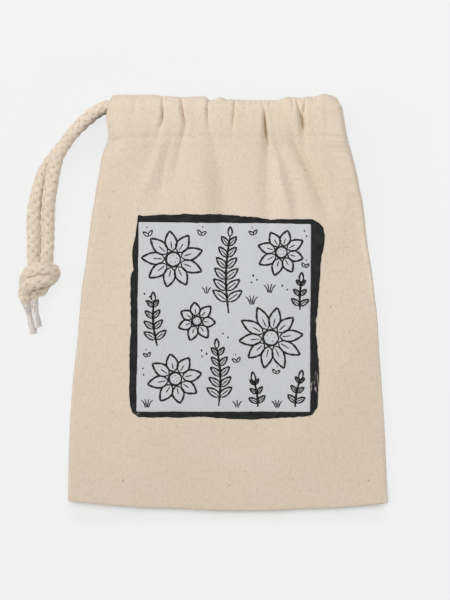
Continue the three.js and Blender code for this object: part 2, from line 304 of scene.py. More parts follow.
def stretchedNoise(tree, coordinates, scale, detail=2.0):
    mapped = addNode(tree, "Mapping", {"Vector": coordinates, "Scale": scale}).outputs[0]
    return addNode(tree, "TexNoise", {"Vector": mapped, "Scale": 1.0, "Detail": detail}).outputs["Fac"]


def patches(tree, coordinates, scale, span, most=1.0, detail=2.0):
    # soft patches between 0 and most: stretched noise, from the low to the high limit in span
    return ramp(tree, stretchedNoise(tree, coordinates, scale, detail), *span, 0.0, most)


def attributeOf(tree, name):
    return addNode(tree, "Attribute", attribute_name=name).outputs["Fac"]


def mixColour(tree, factor, first, second):
    # the mix node's factor and its two colours are its inputs 0, 6 and 7
    return addNode(tree, "Mix", {0: factor, 6: first, 7: second}, data_type="RGBA").outputs[2]


def bumpOf(tree, height, strength, distance, normal=None):
    inputs = {"Height": height, "Strength": strength, "Distance": distance}
    if normal is not None:
        inputs["Normal"] = normal
    return addNode(tree, "Bump", inputs).outputs[0]


calico = {
    "colour": srgb(223, 207, 188),
    "warm": srgb(217, 199, 174),
    "pale": srgb(233, 219, 202),
    "dark": srgb(206, 188, 164),
    "fleck": srgb(120, 98, 74),
    # painted shade: the tone that creases and fold valleys are darkened towards
    "fold": srgb(168, 134, 96),
    "surface": (0.92, 0.15),  # roughness and sheen
    "threadPair": 0.92,  # width of two threads
    "yarn": [  # unevenness of the yarn, as patches that take another tone
        ("warm", (0.025, 0.025, 0.025), (0.3, 0.75), 0.5),
        ("pale", (0.07, 1.6, 1.0), (0.5, 0.8), 0.35),
        ("pale", (1.4, 0.06, 1.0), (0.5, 0.8), 0.35),
        ("dark", (0.75, 0.5, 1.0), (0.42, 0.78), 0.55),
    ],
    "specks": [  # spacing, share of the places taken, radius and darkness
        (13.0, 0.45, 0.42, (0.2, 0.75)), (5.3, 0.4, 0.28, (0.2, 0.75)), (4.1, 0.45, 0.42, (0.05, 0.25)),
    ],
    "weaveShade": (-1.0, 0.4, 0.22, 0.0),  # painted shade: the dark tone, from the weave's hollows to its bumps
    "weaveBump": (0.35, 0.00012),  # strength and distance
    "threads": [(0.10, 2.2, 1.0), (2.2, 0.10, 1.0)],  # threads that stand out, each way
    "threadBump": (0.45, 0.0003),
    "crumple": (0.4, 0.4, 0.4),
    "crumpleBump": (0.3, 0.0007),
}


def flecks(tree, coordinates, cell, share, radius, dark):
    # seed husks: one small disc in some of a cell pattern's cells, of its own size and darkness in each
    scale = (1 / cell, 0.8 / cell, 1 / cell)
    stretched = addNode(tree, "Mapping", {"Vector": coordinates, "Scale": scale}).outputs[0]
    inputs = {"Vector": stretched, "Scale": 1.0}
    cells = addNode(tree, "TexVoronoi", inputs, voronoi_dimensions="2D").outputs
    pick = addNode(tree, "SeparateColor", {"Color": cells["Color"]}).outputs
    size = ramp(tree, pick[0], 1 - share, 1.0, 0.0, radius / cell)
    inside = calculate(tree, "SUBTRACT", size, cells["Distance"])
    edge = ramp(tree, inside, 0.0, 0.25 * radius / cell)
    return calculate(tree, "MULTIPLY", edge, ramp(tree, pick[1], 0.0, 1.0, *dark))


def clothColour(tree, coordinates):
    colour = calico["colour"]
    for tone, *patch in calico["yarn"]:
        colour = mixColour(tree, patches(tree, coordinates, *patch), colour, calico[tone])
    for speck in calico["specks"]:
        colour = mixColour(tree, flecks(tree, coordinates, *speck), colour, calico["fleck"])
    return colour


def makeCalico():
    material, tree, shader = newMaterial("calico", *calico["surface"])
    coordinates = addNode(tree, "UVMap", uv_map="cloth").outputs[0]
    colour = clothColour(tree, coordinates)
    height = weaveHeight(tree, coordinates, calico["threadPair"])
    # painted shade in the weave's hollows
    colour = mixColour(tree, ramp(tree, height, *calico["weaveShade"]), colour, calico["dark"])
    # painted shade in the creases and fold valleys, from the cloth's attribute
    colour = mixColour(tree, attributeOf(tree, "paintedFoldShade"), colour, calico["fold"])
    threads = [stretchedNoise(tree, coordinates, scale, 1.0) for scale in calico["threads"]]
    bump = bumpOf(tree, height, *calico["weaveBump"])
    bump = bumpOf(tree, calculate(tree, "ADD", *threads), *calico["threadBump"], bump)
    bump = bumpOf(tree, stretchedNoise(tree, coordinates, calico["crumple"], 3.0), *calico["crumpleBump"], bump)
    setInputs(tree, shader, {"Base Color": colour, "Normal": bump})
    return material


cordLook = {
    "colour": srgb(220, 204, 184),
    "pale": srgb(229, 215, 197),
    "groove": srgb(198, 178, 152),
    "shadow": srgb(150, 124, 97),
    "surface": (0.9, 0.3),
    "mottle": ((0.5, 0.5, 0.5), (0.35, 0.7), 1.0, 3.0),
    "fuzz": ((1.3, 1.3, 1.3), (0.47, 0.7), 0.6, 3.0),
    "uneven": ((0.5, 0.5, 0.5), (0.36, 0.62), 1.0, 4.0),  # where the crossings are shaded at all
    "fibres": (9.0, 0.5, 1.0),
    "fibreShade": (0.5, 0.8, 0.0, 0.5),
    "fibreBump": (0.5, 0.00025),
    "crossingShade": (0.05, 0.7, 0.72, 0.0),  # from the braid's grooves to its crests
}


def millimetresOf(tree):
    where = addNode(tree, "TexCoord").outputs["Object"]
    return addNode(tree, "Mapping", {"Vector": where, "Scale": (1000, 1000, 1000)}).outputs[0]


def makeCordCotton():
    # fibres run along each strand of the braid, whose crossings are shaded
    material, tree, shader = newMaterial("braidedCotton", *cordLook["surface"])
    millimetres = millimetresOf(tree)
    along = axesOf(tree, addNode(tree, "UVMap", uv_map="cord").outputs[0])["Y"]
    strand = addNode(tree, "CombineXYZ", {"X": attributeOf(tree, "fibre"), "Y": along}).outputs[0]
    fibres = stretchedNoise(tree, strand, cordLook["fibres"])
    colour = mixColour(tree, patches(tree, millimetres, *cordLook["mottle"]), cordLook["colour"], cordLook["pale"])
    colour = mixColour(tree, patches(tree, millimetres, *cordLook["fuzz"]), colour, cordLook["groove"])
    colour = mixColour(tree, ramp(tree, fibres, *cordLook["fibreShade"]), colour, cordLook["groove"])
    shade = ramp(tree, attributeOf(tree, "relief"), *cordLook["crossingShade"])
    shade = calculate(tree, "MULTIPLY", shade, patches(tree, millimetres, *cordLook["uneven"]))
    colour = mixColour(tree, shade, colour, cordLook["shadow"])
    setInputs(tree, shader, {"Base Color": colour, "Normal": bumpOf(tree, fibres, *cordLook["fibreBump"])})
    return material


filmLook = {
    "colour": srgb(194, 184, 178),
    "pale": srgb(222, 214, 209),
    "roughness": 0.22,
    "coat": {"Coat Weight": 0.6, "Coat Roughness": 0.12},
    # painted highlights: pale streaks along the film's wrinkles
    "paintedGlintStreaks": ((1.6, 0.16, 1.6), (0.35, 0.65)),
    "wrinkles": (1.5, 0.3, 1.5),
    "wrinkleBump": (0.5, 0.0004),
}


def makeFilm():
    material, tree, shader = newMaterial("clearFilm", filmLook["roughness"])
    millimetres = millimetresOf(tree)
    # pale streaks, painted highlights along the film's wrinkles
    colour = mixColour(tree, patches(tree, millimetres, *filmLook["paintedGlintStreaks"]), filmLook["colour"], filmLook["pale"])
    wrinkles = bumpOf(tree, stretchedNoise(tree, millimetres, filmLook["wrinkles"]), *filmLook["wrinkleBump"])
    setInputs(tree, shader, {"Base Color": colour, "Normal": wrinkles, **filmLook["coat"]})
    return material


inkLook = {
    "roughness": 0.85,
    "mottle": ((0.3, 0.3, 0.3), (0.4, 0.75), 0.5, 4.0),
    "hairs": ((1.9, 0.35, 1.0), (0.55, 0.68), 0.8, 1.0),  # scratches, where the ink is worn
    "wornCore": 0.4,  # share of a worn place's reach where it is at its most
    "wornMost": 0.5,
    "wornZ": 6.0,
    "bump": (0.3, 0.00012),
}


def makeInk(name, colour, worn, scratched):
    # ink over the weave; scratched lists the worn places as x, y and reach in millimetres
    material, tree, shader = newMaterial(name, inkLook["roughness"])
    millimetres = millimetresOf(tree)
    tone = mixColour(tree, patches(tree, millimetres, *inkLook["mottle"]), colour, worn)
    for x, y, reach in scratched:
        place = {0: millimetres, 1: (x, y, inkLook["wornZ"])}
        distance = addNode(tree, "VectorMath", place, operation="DISTANCE").outputs["Value"]
        near = ramp(tree, distance, reach, inkLook["wornCore"] * reach, 0.0, inkLook["wornMost"])
        chips = calculate(tree, "MULTIPLY", near, patches(tree, millimetres, *inkLook["hairs"]))
        tone = mixColour(tree, chips, tone, calico["pale"])
    height = weaveHeight(tree, millimetres, calico["threadPair"])
    setInputs(tree, shader, {"Base Color": tone, "Normal": bumpOf(tree, height, *inkLook["bump"])})
    return material


threadLook = {"colour": srgb(221, 206, 187), "pale": srgb(231, 218, 201), "surface": (0.7, 0.2), "twist": 2600.0}


def makeThread():
    material, tree, shader = newMaterial("sewingThread", *threadLook["surface"])
    where = addNode(tree, "TexCoord").outputs["Object"]
    noise = {"Vector": where, "Scale": threadLook["twist"], "Detail": 2.0}
    twist = ramp(tree, addNode(tree, "TexNoise", noise).outputs["Fac"], 0.3, 0.7)
    colour = mixColour(tree, twist, threadLook["colour"], threadLook["pale"])
    setInputs(tree, shader, {"Base Color": colour})
    return material


wornPlaces = [(44.2, 10.0, 5.0), (42.4, -38.0, 7.5), (-42.5, -53.4, 3.0)]
finishes = {
    "cloth": makeCalico(),
    "cord": makeCordCotton(),
    "film": makeFilm(),
    "ground": makeInk("greyInk", srgb(201, 201, 203), srgb(196, 196, 199), ()),
    "line": makeInk("blackInk", srgb(36, 36, 38), srgb(48, 47, 48), ()),
    "border": makeInk("blockInk", srgb(28, 29, 30), srgb(58, 57, 55), wornPlaces),
    "thread": makeThread(),
}


print("stage: cloth")

# What the drawn cord does to the front. Each fold is a line of points from top to foot, each with its
# place, its depth and its half-width there. A negative depth is a ridge.
folds = [
    [(-30.5, 98, 0.8, 0.5), (-30.5, 92, 1.6, 0.5), (-30.3, 89, 2.3, 0.6), (-30.2, 86.2, 2.8, 0.7),
     (-30.9, 83.2, 1.4, 1), (-32.1, 79.5, 0.7, 1.6), (-33.4, 74.5, 0.45, 2), (-35.2, 71, 0.3, 2.4),
     (-36.7, 66, 0.15, 2.8), (-38.5, 60, 0, 3)],
    [(-26.2, 98.5, 0.8, 0.5), (-24.3, 93.5, 0.5, 0.5), (-23.8, 91, 0, 0.5)],
    [(-21.9, 98, 1.1, 0.6), (-21.6, 92, 2.1, 0.75), (-20.9, 88, 2.3, 0.85), (-20, 84.5, 2.1, 0.95),
     (-20, 80, 1.3, 1.4), (-21.8, 74.5, 1, 2), (-22.9, 68, 0.95, 2.3), (-24.3, 63.5, 0.65, 2.6),
     (-25.4, 58, 0.4, 2.8), (-27.5, 51, 0, 3)],
    [(-26, 84, 0, 1.5), (-26.4, 78, 0.3, 1.6), (-27.3, 71.7, 0.45, 2), (-28.4, 67.9, 0.5, 2.2),
     (-29.6, 63.5, 0.55, 2.4), (-31, 56, 0.6, 2.8), (-32.6, 46, 0.3, 3.2), (-34.5, 36, 0, 3.4)],
    [(-29.9, 80, 0, 2), (-31.9, 72, -0.6, 2.4), (-33.8, 65, -0.6, 2.6), (-36, 59.5, -0.55, 2.8),
     (-39.4, 52.5, -0.4, 3), (-41.5, 44, 0, 3.2)],
    [(-8.3, 98, 0.6, 0.5), (-9.7, 91, 1.9, 0.55), (-9.6, 87, 1.8, 0.6), (-9.1, 84, 0.9, 0.9),
     (-7.6, 78.7, 0.6, 2), (-5.3, 70, 0.65, 3), (-4.3, 62, 0.75, 3.6), (-3.2, 54, 0.85, 4),
     (-2.4, 44, 0.8, 4.4), (-2, 16, 0, 4.6)],
    [(-13.5, 82, 0, 3.5), (-13, 74, -0.8, 4.6), (-12.5, 62, -1, 5.4), (-11.4, 48, -0.9, 5.8),
     (-10.6, 24, 0, 6)],
    [(3.5, 98, 0.5, 0.5), (3.2, 93, 1.5, 0.5), (2.6, 85, 1.4, 0.6), (2.2, 79, 0, 1.2)],
    [(15, 98, 0.4, 0.4), (16.2, 93, 0.5, 0.4), (17.1, 89.3, 0.5, 0.5), (17.3, 86.3, 3.6, 0.75),
     (17.5, 82.5, 3.5, 0.9), (18, 78.2, 2.6, 1.4), (18.8, 73, 1.7, 2.5), (18.6, 64.6, 1.1, 3.1),
     (18.3, 52, 1, 4), (18.5, 43.5, 0.85, 4.4), (17.6, 6, 0, 5)],
    [(20.2, 98, 0.8, 0.4), (19.7, 92.5, 0.7, 0.4), (19.5, 90.5, 0, 0.4)],
    [(21.4, 79.5, 0.2, 1.8), (23.2, 74.5, 1.2, 2.3), (24.6, 70.5, 1.1, 2.6), (25.8, 67, 0.7, 2.7),
     (28.1, 63.5, 0.65, 2.8), (29.4, 58.5, 0.6, 3.1), (31, 51.5, 0.5, 3.3), (32, 44, 0.55, 3.6),
     (33.2, 28, 0, 4)],
    [(31.9, 98, 0.5, 0.4), (32.3, 93, 1.1, 0.5), (33.7, 88.2, 2.1, 0.85), (34.7, 85.6, 3.2, 1.3),
     (35.1, 82.2, 2.7, 1.5), (35.5, 78, 1, 1.6), (36, 71, 0, 2)],
    [(29.4, 84, 0, 1.4), (30.6, 77, 1, 1.8), (32.4, 72, 1.5, 2.3), (34.8, 67.9, 1.5, 2.6),
     (36.8, 64, 1.5, 2.9), (39.2, 59.5, 1.45, 3.1), (42, 52.9, 1.3, 3.4), (45.6, 44.5, 0.9, 3.8),
     (48.6, 32, 0, 4.4)],
    [(29.4, 98, 0.9, 0.4), (30.6, 92.5, 0.7, 0.5), (31, 89.5, 0, 0.5)],
    [(36.3, 98, 0.2, 0.4), (35.9, 93, 0.9, 0.5), (35.5, 89, 1.8, 0.65), (35.2, 86.5, 0.9, 0.7),
     (35.1, 84, 0, 0.7)],
    [(39.7, 98.5, 0.9, 0.5), (39.7, 94, 0.4, 0.6), (39.8, 92, 0, 0.6)],
    [(48, 84, 0, 4.5), (49.5, 76, -0.7, 5.5), (51.5, 68, -1, 6.2), (54, 60, -1.1, 6.6),
     (56.5, 50, -0.8, 7), (58.5, 36, 0, 7.4)],
    [(22.8, 68, 0, 1.8), (23.2, 64.5, -0.7, 2.2), (24.2, 59.5, -1, 2.5), (26, 52.9, -1, 2.9),
     (28.4, 45.4, -0.7, 3.2), (30.5, 34, 0, 3.6)],
    [(-43, 98, 0.5, 0.8), (-43.1, 91, 0.6, 0.9), (-43.4, 84, 0, 1.2)],
    [(-38.7, 98, 0.5, 0.7), (-38.9, 92, 0.4, 0.8), (-39, 88, 0, 1)],
    [(-35.6, 88, 0, 1), (-35.8, 82, 0.5, 1.2), (-37.2, 70, 0.3, 2), (-38.5, 58, 0, 2.4)],
    [(8.6, 98, 0.5, 0.7), (8.4, 92, 0.4, 0.8), (8.2, 85, 0, 1)],
    [(11.6, 98, 0.5, 0.5), (11.5, 94, 0.4, 0.6), (11.4, 90, 0, 0.8)],
    [(-15.5, 98, 0.2, 1.6), (-15.2, 90, 0.3, 2), (-14.5, 80, 0.3, 2.4), (-14, 70, 0, 3)],
    [(25.5, 98, 0.4, 0.9), (25.7, 93, 0.3, 1.2), (26, 84, 0, 1.6)],
    [(46.5, 98, 0.3, 1.4), (47, 88, 0.3, 1.6), (47.6, 82, 0, 2)],
]
foldShape = {
    "softening": 5.0,  # length over which a fold's line is rounded off between its points
    "power": 1.7,  # of the groove's bell shape
    "gain": 0.5,  # how much deeper the folds are where the cloth hangs free, well below the stitches
    "gainReach": (34, 2),  # that falls off from so far below the stitches to so far above them
}
puffs = {"height": 1.7, "fade": 20.0, "fromEnds": 9.0, "power": 1.5}  # of the cloth near the casing
hem = {"step": 0.3, "from": 0.7, "to": 0.3, "dip": 0.25, "dipAbove": 1.0, "dipHalf": 0.8}
drape = {"broad": 0.35, "slanting": 0.22, "calm": 10.0}  # heights of its waves, and the still stretch at a seam
ripples = {"height": 1.3, "pitch": 3.4, "drift": 11.0, "fromEnds": 8.0, "top": 0.3, "from": 20}  # of the back

# outline of the two sides: height up the bag, then place across it
leftLine = [
    (97.4, -53.6), (93.8, -55.2), (90, -56.2), (86.7, -56.8), (83.4, -56.4), (80.1, -55.8), (77.8, -55.8),
    (75, -55.9), (71.2, -57.8), (67, -59.2), (62.3, -59.8), (57.6, -60.6), (52.9, -61.6), (48.2, -62.1),
    (41.1, -63.6), (34.1, -64.4), (24.7, -65.6), (15.3, -66.9), (5.9, -68.4), (-3.5, -69.2), (-12.9, -70),
    (-22.3, -70.8), (-36.4, -72.5), (-55.2, -73.9), (-74, -74.7), (-88.1, -74.9), (-94, -75),
]
rightLine = [
    (91, 53.6), (88, 54.1), (85.8, 54.5), (81.1, 55.3), (76.8, 56.2), (73.1, 57.2), (69.3, 58.3),
    (64.6, 59.5), (57.6, 61.1), (52.9, 61.9), (48.2, 63.1), (41.1, 64), (34.1, 64.7), (24.7, 65.9),
    (15.3, 67.5), (5.9, 68.6), (-3.5, 69.8), (-12.9, 70.6), (-22.3, 71.1), (-36.4, 72.1), (-55.2, 73.5),
    (-74, 74.4), (-88.1, 75), (-94, 75.3),
]


def alongFold(y, fold, column):
    # linear between the points, then averaged over a short length so that the line has no corners
    points = np.array(fold)[::-1]
    offsets = np.linspace(-0.5, 0.5, 5) * foldShape["softening"]
    return sum(np.interp(y + offset, points[:, 1], points[:, column]) for offset in offsets) / len(offsets)


def foldDepth(x, y):
    # sum of bell-shaped grooves, each across its own line, and deeper where the cloth hangs free
    depth = np.zeros(np.broadcast(x, y).shape)
    for fold in folds:
        across = (x - alongFold(y, fold, 0)) / alongFold(y, fold, 3)
        depth += alongFold(y, fold, 2) * np.exp(-np.abs(across) ** foldShape["power"])
    below, above = foldShape["gainReach"]
    return depth * (1 + foldShape["gain"] * (1 - smooth(y, bag["stitchY"] - below, bag["stitchY"] + above)))


def lineAt(line, y):
    places = np.array(line)[::-1]
    return np.interp(y, places[:, 0], places[:, 1])


def halfWidthAt(y):
    # the right side's outline
    return lineAt(rightLine, y)


def leftEdgeAt(y):
    # side seam, and above it the casing's open end
    return lineAt(leftLine, y)


def bellOf(distance, half):
    return np.exp(-((distance / half) ** 2))


def bottomAt(x):
    away = (x - bag["sagMiddle"]) / bag["halfWidth"]
    level = bag["bottomY"] + np.where(away < 0, bag["sag"][0], bag["sag"][1]) * away**2
    for height, middle, half in bag["bottomRises"]:
        level = level + height * bellOf(x - middle, half)
    return level


def climbAt(x, y):
    return np.clip((y - bottomAt(x)) / (bag["stitchY"] - bottomAt(x)), 0, 1)


def crownAt(climb, rim):
    # height of the front: low and flat near the bottom, as high as the casing at the top; rim is 1 at an
    # edge and 0 well inside
    low = bag["loft"] - ((bag["loft"] - bag["rimLoft"]) + bag["pillow"] * climb) * rim * (1 - climb)
    return low + (mouthZ - bag["loft"]) * climb ** bag["crownPower"]


def turnShrink(climb):
    # the right side's roll is as high as the front there
    return (crownAt(climb, 1) - floorZ) / (stitchTop + stitchUnder)


stitchTop = turnRadius + bag["seamHalf"] + bag["seamLift"]
stitchUnder = turnRadius + bag["tunnelHalf"]
turnWiden = (halfWidthAt(bag["stitchY"]) - bag["turnX"]) / ((stitchTop + stitchUnder) / 2)
roll = {
    "reach": 0.4,  # of the right side's roll across the bag near the bottom, over half its height
    "reachPower": 5,  # how late up the bag it reaches further
    "panelPower": 0.25,  # the lower, the squarer: near the bottom
    "casingPower": 0.36,  # and at the casing
}


def rollWiden(climb):
    # the roll's depth across the bag over half its height: less towards the bottom
    return roll["reach"] + (turnWiden - roll["reach"]) * climb ** roll["reachPower"]


def turnStart(y, climb):
    return halfWidthAt(y) - rollWiden(climb) * turnShrink(climb) * (stitchTop + stitchUnder) / 2


def puffAt(x, y):
    # the gathered cloth stands proud near the casing and settles lower down
    fromEnds = smooth(np.minimum(x + bag["halfMouth"], bag["turnX"] + turnRadius - x), 0, puffs["fromEnds"])
    below = np.clip(bag["stitchY"] - y, 0, None) / puffs["fade"]
    return puffs["height"] * fromEnds * np.exp(-(below ** puffs["power"]))


def hemStep(y):
    # the casing's inner layer ends just below the stitches and lifts the cloth over it a little, and the
    # stitches draw it in
    hemY = bag["stitchY"] - bag["hemBelow"] * casingHeight
    dip = hem["dip"] * bellOf(y - bag["stitchY"] - hem["dipAbove"], hem["dipHalf"])
    return hem["step"] * smooth(y, hemY - hem["from"], hemY + hem["to"]) - dip


def nearEdge(distance):
    return (1 - np.clip(distance / bag["edgeRise"], 0, 1)) ** bag["edgeEase"]


def edgeFall(distance, width):
    # share of the drop at an edge: a quarter of a circle that is squared a little
    inward = 1 - np.clip(distance / width, 0, 1)
    return 1 - (1 - inward ** bag["edgePower"]) ** (1 / bag["edgePower"])


def sideSeamDrop(height, y, climb, left, side):
    # front and back come down and up to the side seam between them, and part again below the casing
    middle = (floorZ + crownAt(climb, 1)) / 2 + side * layerHalf
    parted = mouthZ if side > 0 else floorZ
    seam = middle + (parted - middle) * smooth(y, bag["stitchY"] - bag["seamPart"], bag["stitchY"])
    width = bag["sideRoll"][0] * (crownAt(climb, 1) - floorZ) / 2 + bag["sideRoll"][1]
    return height - (height - seam) * edgeFall(left, width)


def bottomPinch(height, fromBottom, side):
    # front, roll and back all close on the bottom seam
    level = seamLowZ + side * layerHalf
    return height - (height - level) * edgeFall(fromBottom, bag["bottomRoll"])


def frontHeight(x, y):
    # height of the middle of the front cloth below the stitches: nearly flat low down and rising to the
    # casing, turned over at the left and the bottom seam, less the folds
    climb = climbAt(x, y)
    left = np.clip(x - leftEdgeAt(y), 0, None)
    right = np.clip(turnStart(y, climb) - x, 0, None)
    fromBottom = np.clip(y - bottomAt(x), 0, None)
    inside = (1 - nearEdge(left)) * (1 - nearEdge(right)) * (1 - nearEdge(fromBottom))
    height = crownAt(climb, 1 - inside)
    calm = smooth(np.minimum(left, fromBottom), 0, drape["calm"])
    waves = drape["broad"] * np.sin(x / 17 + 0.8) * np.sin(y / 23 + 0.4)
    waves = waves + drape["slanting"] * np.sin(x / 9 - y / 15)
    below = 1 - smooth(y, bag["stitchY"] - 4, bag["stitchY"])
    height = height + calm * (waves * below - foldDepth(x, y)) + puffAt(x, y) * smooth(left, 0, 8)
    height = height + hemStep(y) * calm
    return bottomPinch(sideSeamDrop(height, y, climb, left, 1), fromBottom, 1)


topLine = [
    (-53.9, 96.8), (-51.5, 96.9), (-46, 97), (-40, 97.1), (-34.5, 97), (-31.5, 96.6), (-28, 96.3),
    (-25.5, 96.3), (-22.8, 95.9), (-20, 95.9), (-14.6, 96.3), (-10.4, 96.3), (-9, 95), (-7.6, 94.5),
    (-5, 95.2), (-3.4, 96), (-0.6, 94.8), (2, 94.9), (5, 94.7), (8, 94.3), (11, 94.4), (16, 94.4), (19, 94.4),
    (21.8, 94.1), (23.3, 94.2), (24.6, 95), (27.4, 96), (30.3, 96), (33.2, 95.6), (34.6, 95.4), (36, 96.2),
    (39.6, 96.2), (41.4, 96.3), (42.8, 96.8), (44.2, 97.3), (45.4, 97.5), (46.6, 97.3), (48, 96.9),
    (49.4, 96.5), (50.6, 96), (51.6, 94.7), (52.6, 93.1), (53.6, 92), (56, 91.4),
]
backTop = 94.9  # the back's top edge, hidden below the front's
topCrease = {"share": 0.3, "most": 2.5, "y": 96.5}  # how a fold's depth there notches the top edge
topLeast = {"y": 94.4, "past": 50, "endY": 91.2}  # the edge's lowest level, and the same past the last folds


def topAt(x):
    points = np.array(topLine)
    crease = topCrease["share"] * np.clip(foldDepth(x, np.full_like(x, topCrease["y"])), 0, topCrease["most"])
    least = np.where(x < topLeast["past"], topLeast["y"], topLeast["endY"])
    return np.maximum(np.interp(x, points[:, 0], points[:, 1]) - crease, least)


def bulge(share):
    # how far the tunnel has opened on the way from the stitches to the cord's line: most of it early
    return 1 - (1 - np.clip(share, 0, 1)) ** bag["bulgePower"]


crowding = {"atLeft": 4.0, "leftReach": 0.02, "atCrease": 1.8, "creaseReach": 2.6, "sharp": 0.6}


def columnShares(count):
    # columns crowd together at the left edge and the sharp creases, by the running sum of a density
    fine = np.linspace(0, 1, 2000)
    x = -bag["halfMouth"] + fine * (bag["turnX"] + bag["halfMouth"])
    density = 1.0 + crowding["atLeft"] * np.exp(-fine / crowding["leftReach"])
    for fold in folds:
        if fold[0][3] <= crowding["sharp"]:
            density += crowding["atCrease"] * bellOf(x - fold[1][0], crowding["creaseReach"])
    running = np.concatenate([[0], np.cumsum((density[1:] + density[:-1]) / 2)])
    return np.interp(np.linspace(0, 1, count), running / running[-1], fine)


sheetGrid = {
    "front": 212, "turn": 13, "back": 40,  # columns
    "panelRows": 118, "rimRows": 8, "rim": 0.016, "rimPower": 1.6,  # rows, and the close ones at the bottom seam
    "casingRows": 19, "foldRows": 11, "hemRows": 14,
}
frontShare = columnShares(sheetGrid["front"])[None, :]
turnAngle = np.linspace(0, math.pi, sheetGrid["turn"] + 2)[None, 1:-1]


def rollCurve(power):
    # a half circle that is squared: its two parts, each to the same power
    return np.sin(turnAngle) ** power, np.sign(np.cos(turnAngle)) * np.abs(np.cos(turnAngle)) ** power


turnSin, turnCos = rollCurve(roll["casingPower"])
backShare = np.linspace(1, 0, sheetGrid["back"])[None, :]


def backRipple(x, y, reach):
    # shallow folds that lift the gathered underside off the surface near the mouth
    wave = 0.5 + 0.5 * np.sin(x / ripples["pitch"] + 1.3 * np.sin(x / ripples["drift"]))
    fromEnds = smooth(np.minimum(x + bag["halfMouth"], bag["turnX"] - x), 0, ripples["fromEnds"])
    return ripples["height"] * wave**2 * reach * fromEnds


def bandOf(*axes):
    # one band of the sheet's grid, from the x, y and z of its front, turn and back columns
    return np.stack([np.concatenate(parts, 1) for parts in axes], 2)


def columnsFrom(leftEdge, start):
    # the front's and the back's columns, from the left edge to the turn
    return leftEdge + frontShare * (start - leftEdge), leftEdge + backShare * (start - leftEdge)


def onTurn(z, lift):
    # the front's lift carried over into the turn's upper half
    return z + lift * np.clip(turnCos, 0, 1) ** 2


def panelRows():
    # bottom seam to stitches; a row keeps one share of the way up, so that it follows the sagging bottom,
    # and the lowest rows are close together where the cloth turns over
    rim, close = sheetGrid["rim"], sheetGrid["rimRows"]
    lowest = np.linspace(0, 1, close + 1)[:-1] ** sheetGrid["rimPower"] * rim
    climb = np.concatenate([lowest, np.linspace(rim, 1, sheetGrid["panelRows"] - close)])[:, None]
    lowestY = bag["bottomY"] + bag["meanSag"]
    level = lowestY + climb * (bag["stitchY"] - bag["bottomY"] - bag["meanSag"])
    start = turnStart(level, climb)
    leftEdge = leftEdgeAt(level)

    def heightOn(x):
        return bottomAt(x) + climb * (bag["stitchY"] - bottomAt(x))

    frontX, backX = columnsFrom(leftEdge, start)
    frontY = heightOn(frontX)
    frontZ = frontHeight(frontX, frontY)
    shrink = turnShrink(climb)
    radius = stitchTop + (stitchUnder - stitchTop) * turnAngle / math.pi
    outward, upright = rollCurve(roll["panelPower"] + (roll["casingPower"] - roll["panelPower"]) * climb**3)
    turnX = start + rollWiden(climb) * shrink * radius * outward
    turnY = heightOn(turnX)
    joined = puffAt(start, level) - foldDepth(start, level) + hemStep(level)
    turnZ = floorZ + shrink * (stitchUnder + radius * upright)
    turnZ = turnZ + joined * np.clip(upright, 0, 1) ** 2
    turnZ = bottomPinch(turnZ, turnY - bottomAt(turnX), upright)
    backY = heightOn(backX)
    backZ = floorZ + backRipple(backX, backY, smooth(backY, ripples["from"], bag["stitchY"]))
    backZ = sideSeamDrop(backZ, backY, climb, backX - leftEdge, -1)
    backZ = bottomPinch(backZ, backY - bottomAt(backX), -1)
    return bandOf((frontX, turnX, backX), (frontY, turnY, backY), (frontZ, turnZ, backZ))


sink = {"onCord": 0.25, "atStitches": 2.2}  # how far a fold may sink: on the cord, and more at the stitches


def casingRows(y, half, side, bulged):
    # one layer of the casing: a distance of half from the cord's line, on the outer or the inner side
    leftEdge = leftEdgeAt(y)
    frontX, backX = columnsFrom(leftEdge, bag["turnX"])
    level = np.broadcast_to(y, frontX.shape)
    fromEnd = smooth(frontX - leftEdge, 0, 6)
    lift = puffAt(frontX, level) - foldDepth(frontX, level) * fromEnd
    if side > 0:
        lift = np.maximum(lift, -sink["onCord"] - sink["atStitches"] * (1 - bulged)) + hemStep(level) * fromEnd
    else:
        lift = lift * (1 - bulged)
    raised = bag["seamLift"] * (1 - bulged)
    frontZ = bag["frontCordZ"] + side * half + raised + lift
    flat = turnAngle / math.pi
    outward = side * half + raised * (1 - flat) + flat * (bag["tunnelHalf"] - half)
    widen = (halfWidthAt(y) - bag["turnX"]) / (turnRadius + (half + bag["tunnelHalf"] + raised) / 2)
    turnX = bag["turnX"] + widen * (turnRadius + outward) * turnSin
    turnZ = onTurn(turnMiddleZ + (turnRadius + outward) * turnCos, lift[:, -1:])
    outward = side * half + (bag["tunnelHalf"] - half)
    backZ = bag["backCordZ"] - outward + backRipple(backX, y, 1 - bulged) * (1.0 if side > 0 else 0.7)
    levels = [np.broadcast_to(y, x.shape) for x in (frontX, turnX, backX)]
    return bandOf((frontX, turnX, backX), levels, (frontZ, turnZ, backZ))


